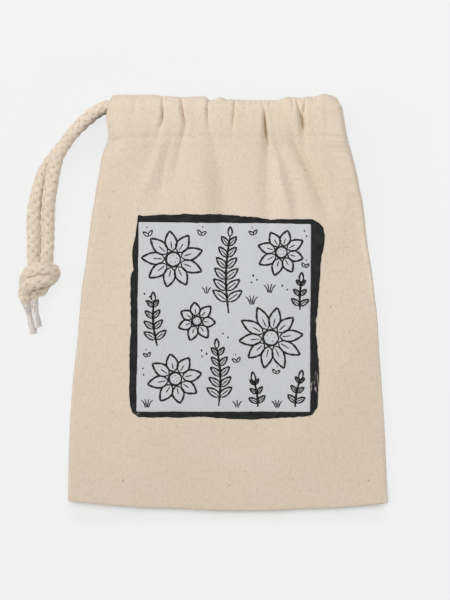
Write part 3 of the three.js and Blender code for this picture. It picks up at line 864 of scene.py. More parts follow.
def foldRows():
    # over the top: half turns about the cord's line, from the outer layer to the inner one
    angle = np.linspace(0, math.pi, sheetGrid["foldRows"] + 2)[1:-1, None]
    out, rise = bag["tunnelHalf"] * np.cos(angle), np.sin(angle)
    leftEdge = leftEdgeAt(bag["cordY"] + bag["mouthRise"] * rise)
    frontX, backX = columnsFrom(leftEdge, bag["turnX"])
    widen = (halfWidthAt(bag["cordY"]) - bag["turnX"]) / (turnRadius + bag["tunnelHalf"])
    turnX = bag["turnX"] + widen * (turnRadius + out) * turnSin
    frontY = bag["cordY"] + (topAt(frontX) - bag["cordY"]) * rise
    turnTop = backTop + (topAt(turnX) - backTop) * (0.5 + 0.5 * turnCos)
    turnY = bag["cordY"] + (np.minimum(turnTop, topAt(turnX)) - bag["cordY"]) * rise
    backY = bag["cordY"] + (backTop + ripples["top"] * np.sin(backX / ripples["pitch"]) - bag["cordY"]) * rise
    lift = puffAt(frontX, frontY) - foldDepth(frontX, frontY) * smooth(frontX - leftEdge, 0, 6)
    lift = np.maximum(lift, -sink["onCord"]) * np.clip(np.cos(angle), 0, 1)
    frontZ = bag["frontCordZ"] + out + lift
    turnZ = onTurn(turnMiddleZ + (turnRadius + out) * turnCos, lift[:, -1:])
    backZ = np.broadcast_to(bag["backCordZ"] - out, backX.shape)
    return bandOf((frontX, turnX, backX), (frontY, turnY, backY), (frontZ, turnZ, backZ))


def sheetPoints():
    # the whole sheet as one grid: rows from the bottom seam up, over the top fold and down inside the
    # casing, columns from the left seam across the front, round the right side and back along the underside
    outer = np.linspace(0, 1, sheetGrid["casingRows"] + 1)[1:, None]
    inner = np.linspace(1, -bag["hemBelow"], sheetGrid["hemRows"])[:, None]
    spread = bag["tunnelHalf"] - bag["seamHalf"]
    rows = [panelRows()]
    for share, side in ((outer, 1), (inner, -1)):
        bulged = bulge(share)
        level = bag["stitchY"] + share * casingHeight
        rows.append(casingRows(level, bag["seamHalf"] + spread * bulged, side, bulged))
    rows.insert(2, foldRows())
    return np.concatenate(rows)


def gridFaces(rows, columns, wrapColumns=False):
    spans = columns if wrapColumns else columns - 1
    row, column = np.meshgrid(np.arange(rows - 1), np.arange(spans), indexing="ij")
    nextColumn = (column + 1) % columns
    corners = [row * columns + column, row * columns + nextColumn]
    corners += [(row + 1) * columns + nextColumn, (row + 1) * columns + column]
    return np.stack([corner.ravel() for corner in corners], 1)


def makePiece(name, points, faces, material, uvName=None, uv=None, attributes=None):
    mesh = bpy.data.meshes.new(name)
    mesh.from_pydata((np.asarray(points).reshape(-1, 3) * mm).tolist(), [], [list(face) for face in faces])
    mesh.polygons.foreach_set("use_smooth", [True] * len(mesh.polygons))
    if uv is not None:
        layer = mesh.uv_layers.new(name=uvName)
        corners = np.zeros(len(mesh.loops), np.int32)
        mesh.loops.foreach_get("vertex_index", corners)
        layer.data.foreach_set("uv", np.asarray(uv, np.float32).reshape(-1, 2)[corners].ravel())
    for key, values in (attributes or {}).items():
        attribute = mesh.attributes.new(key, "FLOAT", "POINT")
        attribute.data.foreach_set("value", np.asarray(values, np.float32).ravel())
    mesh.materials.append(material)
    mesh.update()
    piece = bpy.data.objects.new(name, mesh)
    bpy.context.collection.objects.link(piece)
    return piece


def followTheCord(piece):
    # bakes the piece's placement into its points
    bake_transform(piece)


sheet = sheetPoints()
tuckShade = {
    "most": 0.85,  # of the painted shade, a darker tone, in the casing's creases
    "depths": (1.4, 2.7),  # from the first depth to the second
    "hollow": 0.12,  # the same painted shade in the wide folds below, where it is less
    "hollowDepths": (0.2, 1.8),
    "change": (66, 78),  # level between the two
    "turnWidth": 6,  # of cloth in the right side's turn
}


def makeBagCloth():
    rows, columns = sheet.shape[:2]
    width, turn = 2 * bag["halfWidth"], tuckShade["turnWidth"]
    flatX = [frontShare[0] * width, width + turnAngle[0] / math.pi * turn]
    flatX.append(width + turn + (1 - backShare[0]) * width)
    flatY = lengthAlong(sheet[:, sheetGrid["front"] // 2])
    uv = np.stack(np.meshgrid(np.concatenate(flatX), flatY), 2)
    # painted shade: creases and fold valleys darkened by their depth
    front = sheet[:, :sheetGrid["front"]]
    depth = foldDepth(front[..., 0], front[..., 1])
    paintedCreaseShade = tuckShade["most"] * smooth(depth, *tuckShade["depths"])
    hollow = tuckShade["hollow"] * smooth(depth, *tuckShade["hollowDepths"])
    sharpness = smooth(front[..., 1], *tuckShade["change"])
    paintedFoldShade = np.zeros((rows, columns))
    paintedFoldShade[:, :sheetGrid["front"]] = paintedCreaseShade * sharpness + hollow * (1 - sharpness)
    faces = gridFaces(rows, columns)
    piece = makePiece("bagCloth", sheet, faces, finishes["cloth"], "cloth", uv, {"paintedFoldShade": paintedFoldShade})
    solidify = piece.modifiers.new("thickness", "SOLIDIFY")
    solidify.thickness = bag["thickness"] * mm
    solidify.offset = 0
    followTheCord(piece)
    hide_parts("front_panel", "back_panel", "casing_front", "casing_turn", "casing_back")
    return piece


bagCloth = makeBagCloth()


print("stage: cord")

braid = {
    "strands": 4,  # strands that wind each way
    "flatten": 0.15,  # how much wider than in the casing the limp cord lies where it is free
    "freeFrom": (8, 30),  # from there to there below the casing's cord it widens
    "climb": 4.6,  # length along the cord from one strand to the next
    "relief": 0.5,
    "wave": 0.45,  # how far a strand rises and dips as it crosses the others
    "sway": 0.16,  # unevenness: of the angle, and of the length from one strand to the next
    "stretch": 0.3,
    "skew": 0.18,
    "ring": 56,
    "step": 0.36,
    "clear": 0.05,  # least distance from the surface
}


def smoothPath(points, step):
    # Catmull-Rom curve through the points, then evened out along its length
    points = np.asarray(points, float)
    padded = np.concatenate([[2 * points[0] - points[1]], points, [2 * points[-1] - points[-2]]])
    share = np.linspace(0, 1, 24, endpoint=False)[None, :, None]
    before, first, second, after = (padded[k:len(padded) - 3 + k, None, :] for k in range(4))
    curve = 0.5 * (
        2 * first
        + (second - before) * share
        + (2 * before - 5 * first + 4 * second - after) * share**2
        + (3 * first - before - 3 * second + after) * share**3
    )
    curve = np.concatenate([curve.reshape(-1, 3), points[-1:]])
    length = lengthAlong(curve)
    even = np.linspace(0, length[-1], max(int(length[-1] / step), 4) + 1)
    return readOff(even, length, curve), even


def framesAlong(path):
    # two directions square to the path, carried along it without turning about it
    tangent = unit(np.gradient(path, axis=0))
    side = np.cross(tangent[0], (0.0, 0.0, 1.0))
    sides = []
    for direction in tangent:
        side = unit(side - direction * (direction @ side))
        sides.append(side)
    sides = np.array(sides)
    return sides, np.cross(sides, tangent)


def braidPattern(turn, along):
    # diamond braid, a little uneven: two families of strands wind opposite ways and pass over and under
    # each other in turn. The height is the higher of the two, each a round strand on a wavy line, and the
    # fibre number runs across the upper strand.
    turn = turn + braid["sway"] * np.sin(along / 9)
    along = along + braid["stretch"] * np.sin(along / 3.7 + 1) + braid["skew"] * np.sin(2 * turn + along / 2.3)
    lead = braid["strands"] * turn / (2 * math.pi)
    first, second = lead + along / braid["climb"], lead - along / braid["climb"]

    def family(across, other, sign):
        lane = np.floor(across)
        wave = sign * np.cos(math.pi * (other - 0.5) + math.pi * lane)
        roundness = 1 - np.abs(2 * (across - lane) - 1) ** 2.2
        return braid["wave"] * wave + roundness, across - lane + 3 * np.mod(lane, braid["strands"])

    heightOne, placeOne = family(first, second, 1)
    heightTwo, placeTwo = family(second, first, -1)
    height = np.maximum(heightOne, heightTwo)
    fibre = np.where(heightOne > heightTwo, placeOne, placeTwo + 20)
    return (height - height.min()) / (height.max() - height.min()), fibre


def framesAbout(path, heart):
    # the second direction points away from the heart
    tangent = unit(np.gradient(path, axis=0))
    side = unit(np.cross(tangent, path - heart))
    return side, np.cross(side, tangent)


def tubeRings(path, length, radius, ring, pattern=None, spread=1.0, squash=1.0, heart=None):
    # rings of points round the path; spread and squash are the section's width and height
    side, up = framesAlong(path) if heart is None else framesAbout(path, heart)
    turn = turnsOf(ring)[None, :]
    radius = np.broadcast_to(np.asarray(radius, float), (len(path),))[:, None]
    relief, fibre = np.ones((len(path), ring)), np.zeros((len(path), ring))
    if pattern is not None:
        relief, fibre = pattern(turn, length[:, None])
    reach = radius * (1 - (1 - relief) * braid["relief"] / cordRadius)
    around = spread * side[:, None, :] * np.cos(turn)[..., None]
    around = around + squash * up[:, None, :] * np.sin(turn)[..., None]
    return {
        "path": path,
        "points": path[:, None, :] + reach[..., None] * around,
        "uv": np.stack(np.broadcast_arrays(turn * cordRadius, length[:, None]), 2),
        "relief": relief,
        "fibre": fibre,
    }


def closedTube(rings, rows=slice(None)):
    # a stretch of the rings with a flat cap at each end; each cap has points of its own, so that the
    # shading doesn't run over its edge
    points, path = rings["points"][rows], rings["path"][rows]
    count, ring = points.shape[:2]

    def withCaps(values, first, last):
        return np.concatenate([values.reshape(-1, *values.shape[2:]), values[0], values[-1], first, last])

    faces = [list(face) for face in gridFaces(count, ring, True)]
    foot, top, middle = count * ring, (count + 1) * ring, (count + 2) * ring
    faces += [[middle, foot + (k + 1) % ring, foot + k] for k in range(ring)]
    faces += [[middle + 1, top + k, top + (k + 1) % ring] for k in range(ring)]
    values = {}
    for key in ("uv", "relief", "fibre"):
        value = rings[key][rows]
        values[key] = withCaps(value, value[0, :1], value[-1, :1])
    return withCaps(points, path[:1], path[-1:]), faces, values


def joinFaces(parts):
    # the points and faces of several meshes as those of one
    offset, points, faces = 0, [], []
    for partPoints, partFaces in parts:
        points.append(partPoints)
        faces += [[index + offset for index in face] for face in partFaces]
        offset += len(partPoints)
    return np.concatenate(points), faces


def cordPiece(name, mesh, material="cord"):
    points, faces, values = mesh
    attributes = {key: values[key] for key in ("relief", "fibre")}
    return makePiece(name, points, faces, finishes[material], "cord", values["uv"], attributes)


exitX = -60.5  # of the cord from the casing
cutX = -53.0  # inside the casing, where the cord's pieces meet
straightFrom = -42.0  # where the cord has reached its straight run
turnTuck = (1.8, 2.4)  # how much the cord cuts the right end's corner, in x and in y

# routes of the free strands, from the point where they leave the casing
frontStrandRoute = [
    (0, -0.9, 16.6), (-2.2, -2.2, 16.2), (-4.3, -3.9, 15.6), (-7.3, -6.4, 14.2), (-12.2, -11.7, 12.2),
    (-16.2, -17.2, 10.6), (-19.3, -22.4, 9.7), (-21.1, -28.7, 8.8), (-22.4, -35.8, 7.6), (-23.5, -42.8, 6.5),
    (-24, -49.9, 4.5), (-24.2, -56.9, 3.3), (-24.4, -64, 3.1), (-24.8, -69.5, 3.1), (-25, -73, 3.1),
    (-25, -76.7, 3.1),
]
backStrandRoute = [
    (0, -0.9, 3.95), (-2.2, -2.2, 3.8), (-4.3, -3.9, 3.5), (-7.3, -6.4, 3.2), (-12.6, -11.6, 3.1),
    (-17.2, -17.5, 3.1), (-21, -22.5, 3.1), (-25.3, -28.7, 3.1), (-27.9, -35.8, 3.1), (-29.7, -42.8, 3.1),
    (-30.8, -49.9, 3.1), (-30.9, -56.9, 3.1), (-30.8, -64, 3.1), (-30.6, -69.5, 3.1), (-30.4, -73, 3.1),
    (-30.2, -76.7, 3.1),
]
casingEnd = [(-58.0, 91.3), (-54.5, 92.0), (-49.0, 91.7)]  # how the cord leaves its straight run


def placed(points, x, y):
    return [(px + x, py + y, pz) for px, py, pz in points]


def clearOfFloor(path, radius):
    path[:, 2] = np.maximum(path[:, 2], radius + braid["clear"])
    return path


def cordRings():
    # one cord: from the knot up the front strand, along the front casing, half a turn at the right, back
    # along the back casing and down the back strand
    angle = np.linspace(0, math.pi, 13)
    turn = np.stack([
        bag["turnX"] + (turnRadius - turnTuck[0]) * np.sin(angle),
        bag["cordY"] - turnTuck[1] * np.sin(angle) ** 1.5,
        turnMiddleZ + turnRadius * np.cos(angle),
    ], 1)
    runs = [*casingEnd, *((x, bag["cordY"]) for x in np.linspace(straightFrom, bag["turnX"], 10)[:-1])]
    front = [(x, y, bag["frontCordZ"]) for x, y in runs]
    back = [(x, y, bag["backCordZ"]) for x, y in runs[::-1]]
    frontStrand = placed(frontStrandRoute, exitX, bag["cordY"])[::-1]
    backStrand = placed(backStrandRoute, exitX, bag["cordY"])
    path, length = smoothPath([*frontStrand, *front, *turn, *back, *backStrand], braid["step"])
    path = clearOfFloor(path, cordRadius)
    free = smooth(bag["cordY"] - path[:, 1], *braid["freeFrom"])[:, None, None]
    spread = 1 + braid["flatten"] * free
    return tubeRings(path, length, cordRadius, braid["ring"], braidPattern, spread), length


cord, cordLength = cordRings()
hidden = np.flatnonzero(cord["path"][:, 0] > cutX)
cordRows = {
    "front": slice(0, hidden[0] + 1),
    "casing": slice(hidden[0], hidden[-1] + 1),
    "back": slice(hidden[-1], None),
}
print(f"  whole cord without its knot and tails: {cordLength[-1]:.0f} mm")


def makeCordInCasing():
    piece = cordPiece("cordInCasing", closedTube(cord, cordRows["casing"]))
    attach(piece, "drawcord")
    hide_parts("cord_front_run", "cord_turn", "cord_back_run")
    return piece


cordInCasing = makeCordInCasing()


def makeStrand(name, rows, node):
    piece = cordPiece(name, closedTube(cord, rows))
    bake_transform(piece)
    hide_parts(node)
    return piece


# The two strands of the knot run side by side: down behind, round the lower right, over the front as a
# band, and round the left side into the tails. Places are from the knot's middle.
knot = {
    "middle": (-88.0, 10.8),
    "heart": (-89.0, 11.3, 5.6),
    "radius": 3.05,
    "spread": 1.13,  # width and height of the strand's section, over its radius
    "squash": 0.92,
    "gripped": 1.35,  # the strand's radius in the film
    "grippedFrom": 0.35,  # share of a tail's length from which it narrows
}
outerLoop = [
    (-2.8, 3.5, 3.1), (-2.4, -0.5, 3.1), (-1.6, -3.6, 3.1), (-0.4, -5.1, 3.1), (0.7, -4.7, 3.1), (2.1, -2, 3.1),
    (4.5, 0.4, 3.3), (6.3, 2, 4.4), (6.9, 3.4, 6.4), (6, 4.6, 8.5), (3.3, 5.1, 10), (0, 5.1, 10.5),
    (-3.6, 4.3, 10.1), (-6.4, 2.2, 8.4), (-7.3, -0.8, 5.9), (-7.3, -4, 3.6), (-7.3, -7.4, 3.1),
]
innerLoop = [
    (2.8, 3.5, 3.1), (2.9, 1.8, 3.1), (4, 1, 3.4), (5.2, 0.7, 5.2), (4.9, 0.6, 7.6), (2.6, 0, 9.3),
    (-1, -0.9, 9.9), (-4.6, -2, 9), (-6.8, -3.5, 6.9), (-7.1, -5, 4.6),
]
tails = {
    "tailLeft": {
        "node": "cord_tail_left", "aglet": "aglet_left", "agletName": "agletLeft",
        "route": [(-7.2, -4.6, 3.4), (-7.2, -7.4, 3.1), (-6.9, -10.3, 2.8), (-6.6, -13.4, 2.4)],
        "film": [(-6.6, -11.4, 2.6), (-6, -13.4, 1.9), (-5.1, -15.8, 1.4), (-4.4, -19, 1.3), (-3.4, -25.6, 1.3)],
    },
    "tailRight": {
        "node": "cord_tail_right", "aglet": "aglet_right", "agletName": "agletRight",
        "route": [(-2.2, 0.5, 4.4), (-2.6, -3.5, 5), (-2.9, -7.4, 4), (-3, -9.8, 3.6), (-2.9, -11.6, 3.4)],
        "film": [(-3.1, -9.7, 3.6), (-2.7, -14.8, 3.4), (-1.85, -18.8, 3.3), (-1.1, -22.6, 3.3)],
    },
}
aglet = {
    "halfWidth": 1.75,
    "mouth": 0.18,  # how much wider it is where the cord goes in
    "mouthShare": 0.35,  # of its length
    "flatFrom": 5,  # length after which it is flat
    "ends": (0.9, 0.93),  # width of its first and its last ring, over the next one's
    "squash": (1.0, 0.6),  # height of the section where the cord goes in, and further on
    "ridges": 5,
    "ridge": 0.05,
    "ring": 40,
    "step": 0.3,
}


def knotTube(route, radius, narrow=0.0):
    # a stretch of cord in the knot, drawn in by narrow towards its end
    path, length = smoothPath(placed(route, *knot["middle"]), braid["step"])
    radius = radius - narrow * smooth(length / length[-1], knot["grippedFrom"], 1.0)
    return closedTube(tubeRings(
        clearOfFloor(path, radius * knot["spread"]), length, radius, braid["ring"], braidPattern,
        knot["spread"], knot["squash"], np.array(knot["heart"]) if narrow == 0 else None,
    ))


def makeKnot():
    loops = [knotTube(route, knot["radius"]) for route in (outerLoop, innerLoop)]
    values = {key: np.concatenate([loop[2][key] for loop in loops]) for key in loops[0][2]}
    piece = cordPiece("tiedKnot", (*joinFaces([loop[:2] for loop in loops]), values))
    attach(piece, "free_cord")
    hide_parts("knot")
    return piece


def makeTail(name, tail):
    # the cord's last stretch, drawn in where the film grips it
    piece = cordPiece(name, knotTube(tail["route"], knot["radius"], knot["radius"] - knot["gripped"]))
    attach(piece, "free_cord")
    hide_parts(tail["node"])
    return piece


def makeAglet(name, tail):
    # film shrunk round the cord: a flattened tube with a few ridges along it and a square-cut end
    path, length = smoothPath(placed(tail["film"], *knot["middle"]), aglet["step"])
    reach = aglet["halfWidth"] * (1 + aglet["mouth"] * (1 - smooth(length / length[-1], 0.0, aglet["mouthShare"])))
    reach[0] *= aglet["ends"][0]
    reach[-1] *= aglet["ends"][1]
    full, flat = aglet["squash"]
    squash = full + (flat - full) * smooth(length, 0, aglet["flatFrom"])
    film = tubeRings(path, length, reach, aglet["ring"], squash=squash[:, None, None])
    turn = turnsOf(aglet["ring"])[None, :]
    along = length[:, None]
    wrinkle = 1 + aglet["ridge"] * np.sin(aglet["ridges"] * turn + 0.35 * along) * np.sin(0.5 * along + turn)
    film["points"] = path[:, None] + (film["points"] - path[:, None]) * wrinkle[..., None]
    piece = cordPiece(name, closedTube(film), "film")
    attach(piece, "free_cord")
    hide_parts(tail["aglet"])
    return piece


knotPiece = makeKnot()
for tailName, tail in tails.items():
    makeTail(tailName, tail)
    makeAglet(tail["agletName"], tail)
makeStrand(
    "cordFrontStrand", cordRows["front"], "cord_front_strand",
)
makeStrand(
    "cordBackStrand", cordRows["back"], "cord_back_strand",
)


print("stage: stitches")

thread = {
    "length": 2.3,
    "gap": 0.55,
    "radius": 0.18,
    "ring": 7,
    "steps": 8,
    "rise": 0.12,
    "arch": (2.2, 1.2),  # how far a stitch's middle stands over its ends, and how deep those sit, over rise
    "clear": 0.02,  # least distance from the surface
    "fromEnd": 1.5,  # of the bar of stitches from the casing's open end
}


def stitchesAlong(line, normals, stitch):
    # each stitch is a short round thread that dips into the cloth at both ends
    length = lengthAlong(line)
    pitch = stitch["length"] + stitch["gap"]
    starts = np.arange(stitch["gap"], length[-1] - stitch["length"], pitch)
    share = np.linspace(0, 1, stitch["steps"])
    where = starts[:, None] + share[None, :] * stitch["length"]
    centre = readOff(where, length, line)
    normal = unit(readOff(where, length, normals))
    arch, sunk = stitch["arch"]
    lift = bag["thickness"] / 2 + stitch["rise"] * (np.sin(math.pi * share) * arch - sunk)
    centre = centre + normal * lift[None, :, None]
    centre[..., 2] = np.maximum(centre[..., 2], stitch["radius"] + stitch["clear"])
    side = np.cross(unit(np.gradient(centre, axis=1)), normal)
    turn = turnsOf(stitch["ring"])[:, None]
    width = stitch["radius"] * np.sqrt(np.clip(1 - (2 * share - 1) ** 6, 0.15, 1))
    ring = side[:, :, None, :] * np.cos(turn) + normal[:, :, None, :] * np.sin(turn)
    points = centre[:, :, None, :] + ring * width[None, :, None, None]
    size = stitch["steps"] * stitch["ring"]
    first = np.arange(stitch["ring"])
    one = [*gridFaces(stitch["steps"], stitch["ring"], True), first[::-1], first + size - stitch["ring"]]
    return joinFaces([(each.reshape(-1, 3), one) for each in points])


def makeStitches(name, rows, columns):
    # one row of stitches along a line of the sheet's grid
    across = np.gradient(sheet, axis=1)[rows, columns]
    upwards = np.gradient(sheet, axis=0)[rows, columns]
    normals = unit(np.cross(across, upwards))
    points, faces = stitchesAlong(sheet[rows, columns], normals, thread)
    piece = makePiece(name, points, faces, finishes["thread"])
    followTheCord(piece)
    return piece


stitchRow = sheetGrid["panelRows"]
endColumn = int(np.searchsorted(frontShare[0] * (bag["turnX"] + bag["halfMouth"]), thread["fromEnd"]))
clothPieces = [
    makeStitches("hemStitches", stitchRow, slice(6, sheet.shape[1] - 4)),
    makeStitches("endStitches", slice(stitchRow + 1, stitchRow + sheetGrid["casingRows"] + 1), endColumn),
]


print("stage: print")

inkLayer = {"ground": 0.29, "line": 0.35, "under": 0.17}  # heights over the middle of the cloth


def onCloth(x, y, lift):
    # a place on the front, moved out along the cloth's normal by lift from the middle of the cloth
    nudge = 0.2
    z = frontHeight(x, y)
    slopeX = (frontHeight(x + nudge, y) - frontHeight(x - nudge, y)) / (2 * nudge)
    slopeY = (frontHeight(x, y + nudge) - frontHeight(x, y - nudge)) / (2 * nudge)
    size = np.sqrt(slopeX**2 + slopeY**2 + 1)
    return np.stack([x - lift * slopeX / size, y - lift * slopeY / size, z + lift / size], -1)


def slab(upper, lower, wrap=False):
    # thin closed layer between two grids of points, with the edge round them
    rows, columns = upper.shape[:2]
    count = rows * columns
    points = np.concatenate([upper.reshape(-1, 3), lower.reshape(-1, 3)])
    skin = gridFaces(rows, columns, wrap)
    faces = [list(face) for face in skin] + [list(face[::-1] + count) for face in skin]
    along = np.arange(columns if wrap else columns - 1)
    edges = [(row * columns + along, row * columns + (along + 1) % columns, turn)
             for row, turn in ((0, 1), (rows - 1, -1))]
    if not wrap:
        up = np.arange(rows - 1) * columns
        edges += [(up + column, up + column + columns, turn) for column, turn in ((0, -1), (columns - 1, 1))]
    for start, after, turn in edges:
        faces += [list(quad[::turn]) for quad in np.stack([after, start, start + count, after + count], 1)]
    return points, faces


def inkSlab(x, y, layer, wrap=False):
    return slab(onCloth(x, y, inkLayer[layer]), onCloth(x, y, inkLayer["under"]), wrap)


seamStrip = {
    "width": 8.5,
    "inset": 2.2,
    "thickness": 0.8,
    "belowCasing": 10.0,
    "aboveBottom": 12.0,
    "fromSides": 4.0,
}


def makeSeamStrip(name, node, x, y):
    # the two raw edges of a seam, laid together between the front and the back
    middle = (floorZ + frontHeight(x, y)) / 2
    half = seamStrip["thickness"] / 2
    points, faces = slab(np.stack([x, y, middle + half], 2), np.stack([x, y, middle - half], 2))
    piece = makePiece(name, points, faces, finishes["cloth"], "cloth", points[:, :2])
    followTheCord(piece)
    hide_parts(node)
    return piece


def makeSeamStrips():
    # one runs up the left side and one along the bottom
    across = (seamStrip["inset"] + np.linspace(0, 1, 8) * seamStrip["width"])[None, :]
    low, high = bag["bottomY"] + seamStrip["aboveBottom"], bag["stitchY"] - seamStrip["belowCasing"]
    y = np.linspace(low, high, 80)[:, None]
    x = leftEdgeAt(y) + across
    side = makeSeamStrip("sideSeamEdges", "side_seam_allowance", x, np.broadcast_to(y, x.shape))
    reach = bag["halfWidth"] - seamStrip["fromSides"]
    x = np.linspace(-reach, reach, 90)[None, :]
    y = bottomAt(x) + across.T
    return [side, makeSeamStrip("bottomSeamEdges", "bottom_seam_allowance", np.broadcast_to(x, y.shape), y)]


clothPieces += makeSeamStrips()

panelFrame = {
    "outer": [
        (-41.8, 41), (-39.9, 40.5), (-31.2, 41), (-18.3, 41.5), (-6.7, 41.7), (1.1, 41.4), (10.7, 40.3),
        (20.4, 39.2), (30.1, 39), (39.7, 38.8), (43, 37.3), (44.6, 35.1), (45.2, 31.9), (45, 26.7),
        (44, 22.2), (43.3, 14.5), (43, 7.4), (42.4, -1.7), (42, -8.1), (41.7, -14.5), (42.3, -19.7),
        (42.4, -24.2), (43.2, -28.7), (43.3, -36.5), (42.4, -42.3), (42.1, -49.4), (39.9, -52.6), (35.2, -53.7),
        (26.8, -54), (13.9, -54.8), (1.1, -54.5), (-11.8, -53.7), (-24.7, -54), (-37.6, -53.9),
        (-42, -53.6), (-44.9, -51.9), (-45.9, -48.7), (-46.1, -45.5), (-46.3, -40.3), (-46, -37.1),
        (-45.7, -33.9), (-45.9, -27.4), (-45.9, -21), (-45.5, -11.3), (-45.2, -1.7), (-45.5, 4.8), (-45.5, 9.9),
        (-45.6, 11.9), (-45, 13.8), (-44.1, 15.2), (-44.2, 17.7), (-44.7, 22.2), (-44.7, 26.1), (-43.8, 28.6),
        (-43, 33.8), (-42.1, 38.3),
    ],
    "inner": [(-41.6, 37.7), (39.0, 36.8), (38.8, -51.4), (-42.8, -51.2)],  # the grey ground's corners
    "wobble": (0.1, 0.22),  # unevenness of the inner and the outer edge
    "noise": ((18, 1.0), (70, 0.6), (210, 0.5)),  # its random curves: points and size
    "across": 8,
    "around": 700,
    "ground": (84, 90),  # points across and up the grey ground
    "under": 0.35 / 80,  # how far the ground runs under the border, as a share of its width
}


def evenRing(points, count):
    closed = np.array([*points, points[0]], float)
    length = lengthAlong(closed)
    return readOff(np.linspace(0, length[-1], count, endpoint=False), length, closed)


def handNoise(count, random):
    # uneven line of a hand-cut block: a few random curves round the ring, each with its own fineness
    even = np.linspace(0, 1, count, endpoint=False)
    noise = np.zeros(count)
    for knots, size in panelFrame["noise"]:
        places = np.linspace(0, 1, knots, endpoint=False)
        noise += size * np.interp(even, places, random.normal(0, 1, knots), period=1)
    return noise


def wobbled(ring, size, random):
    tangent = unit(np.roll(ring, -2, 0) - np.roll(ring, 2, 0))
    return ring + size * handNoise(len(ring), random)[:, None] * np.stack([tangent[:, 1], -tangent[:, 0]], 1)


def makePrintGround():
    # a grid over the four corners, carried a little under the border
    topLeft, topRight, bottomRight, bottomLeft = (np.array(corner) for corner in panelFrame["inner"])
    across, up = (np.linspace(-panelFrame["under"], 1 + panelFrame["under"], n) for n in panelFrame["ground"])
    top = topLeft + (topRight - topLeft) * across[None, :, None]
    bottom = bottomLeft + (bottomRight - bottomLeft) * across[None, :, None]
    grid = bottom + (top - bottom) * up[:, None, None]
    return inkPiece("printGround", *inkSlab(grid[..., 0], grid[..., 1], "ground"), finishes["ground"])


def inkPiece(name, points, faces, material):
    piece = makePiece(name, points, faces, material)
    followTheCord(piece)
    return piece


def makePrintBorder():
    # band between a nearly straight inner edge and an uneven outer one, matched by angle about the middle
    random = np.random.default_rng(7)
    middle = np.mean(panelFrame["inner"], 0)
    corner = math.atan2(*(np.array(panelFrame["inner"][0]) - middle)[::-1])
    even = corner - np.linspace(0, 2 * math.pi, panelFrame["around"], endpoint=False)
    rings = []
    for key, wobble in zip(("inner", "outer"), panelFrame["wobble"]):
        ring = evenRing(panelFrame[key], 4000)
        angle = np.arctan2(ring[:, 1] - middle[1], ring[:, 0] - middle[0])
        order = np.argsort(angle)
        matched = [np.interp(even, angle[order], ring[order, axis], period=2 * math.pi) for axis in (0, 1)]
        rings.append(wobbled(np.stack(matched, 1), wobble, random))
    share = np.linspace(0, 1, panelFrame["across"])[:, None, None]
    band = rings[0][None] + (rings[1] - rings[0])[None] * share
    return inkPiece("printBorder", *inkSlab(band[..., 0], band[..., 1], "line", True), finishes["border"])


def strokeMesh(points, width):
    # flat ribbon along a curve, thinner towards its ends, with a slight unevenness of the hand
    path, length = smoothPath([(x, y, 0) for x, y in points], 0.5)
    tangent = unit(np.gradient(path[:, :2], axis=0))
    share = length / length[-1]
    taper = 0.45 + 0.55 * np.sin(math.pi * np.clip(share, 0.02, 0.98)) ** 0.5
    uneven = 1 + 0.14 * np.sin(length * 1.7 + path[0, 0]) + 0.08 * np.sin(length * 4.1 + path[0, 1])
    half = width / 2 * taper * uneven
    side = np.stack([-tangent[:, 1], tangent[:, 0]], 1)
    across = np.linspace(1, -1, 3)[None, :, None]
    ribbon = path[:, None, :2] + side[:, None, :] * half[:, None, None] * across
    return inkSlab(ribbon[..., 0], ribbon[..., 1], "line")


def petalLoop(x, y, angle, length, width):
    # outline of a leaf or petal: out along one side and back along the other, widest past its middle
    share = np.linspace(0, 1, 9)
    side = width / 2 * np.sin(math.pi * share**0.8) ** 0.8
    along = np.concatenate([share, share[-2::-1]]) * length
    across = np.concatenate([side, -side[-2::-1]])
    cos, sin = math.cos(angle), math.sin(angle)
    return [(x + a * cos - b * sin, y + a * sin + b * cos) for a, b in zip(along, across)]


def away(x, y, distance, angle):
    return x + distance * math.cos(angle), y + distance * math.sin(angle)


def veined(x, y, angle, length, width, ink, parts):
    # a leaf or petal and the vein inside it
    vein = [away(x, y, part * length, angle) for part in parts]
    return [(petalLoop(x, y, angle, length, width), inkWidth[ink]), (vein, inkWidth["vein"])]


def daisy(x, y, size, petals, turn):
    core = size * 0.24
    strokes = [([away(x, y, core, angle) for angle in np.linspace(0, 2 * math.pi, 13)], inkWidth["bold"])]
    for k in range(petals):
        angle = turn + 2 * math.pi * k / petals
        reach = size * (0.70 + 0.06 * math.sin(5 * k + turn))
        root = away(x, y, core * 1.15, angle)
        strokes += veined(*root, angle, reach, size * 3.5 / petals, "petal", (0.12, 0.3, 0.5))
    for k in range(5):
        strokes.append(inkDot(*away(x, y, core * 0.5, turn + 2 * math.pi * k / 5), 0.5))
    return strokes


def inkDot(x, y, size):
    return [(x - 0.35 * size, y), (x, y + 0.1 * size), (x + 0.35 * size, y)], size


def tuft(x, y, size, blades):
    # a few short blades that fan out from one place
    strokes = []
    for k in range(blades):
        lean, foot = 1.1 * (k / (blades - 1) - 0.5), x + 0.5 * k
        reach = size * (1 - 0.3 * abs(lean))
        points = [(foot, y), (foot + 0.35 * reach * lean, y + 0.6 * reach), (foot + reach * lean, y + reach)]
        strokes.append((points, inkWidth["fine"]))
    return strokes


def seedling(x, y, size, way):
    # two small leaves and a dot over them
    strokes = [(petalLoop(x, y, math.pi / 2 + side * 0.75 + 0.2 * way, size, 0.45 * size), 0.6) for side in (1, -1)]
    return [*strokes, inkDot(x - 0.25 * size * way, y + 1.25 * size, 0.7)]


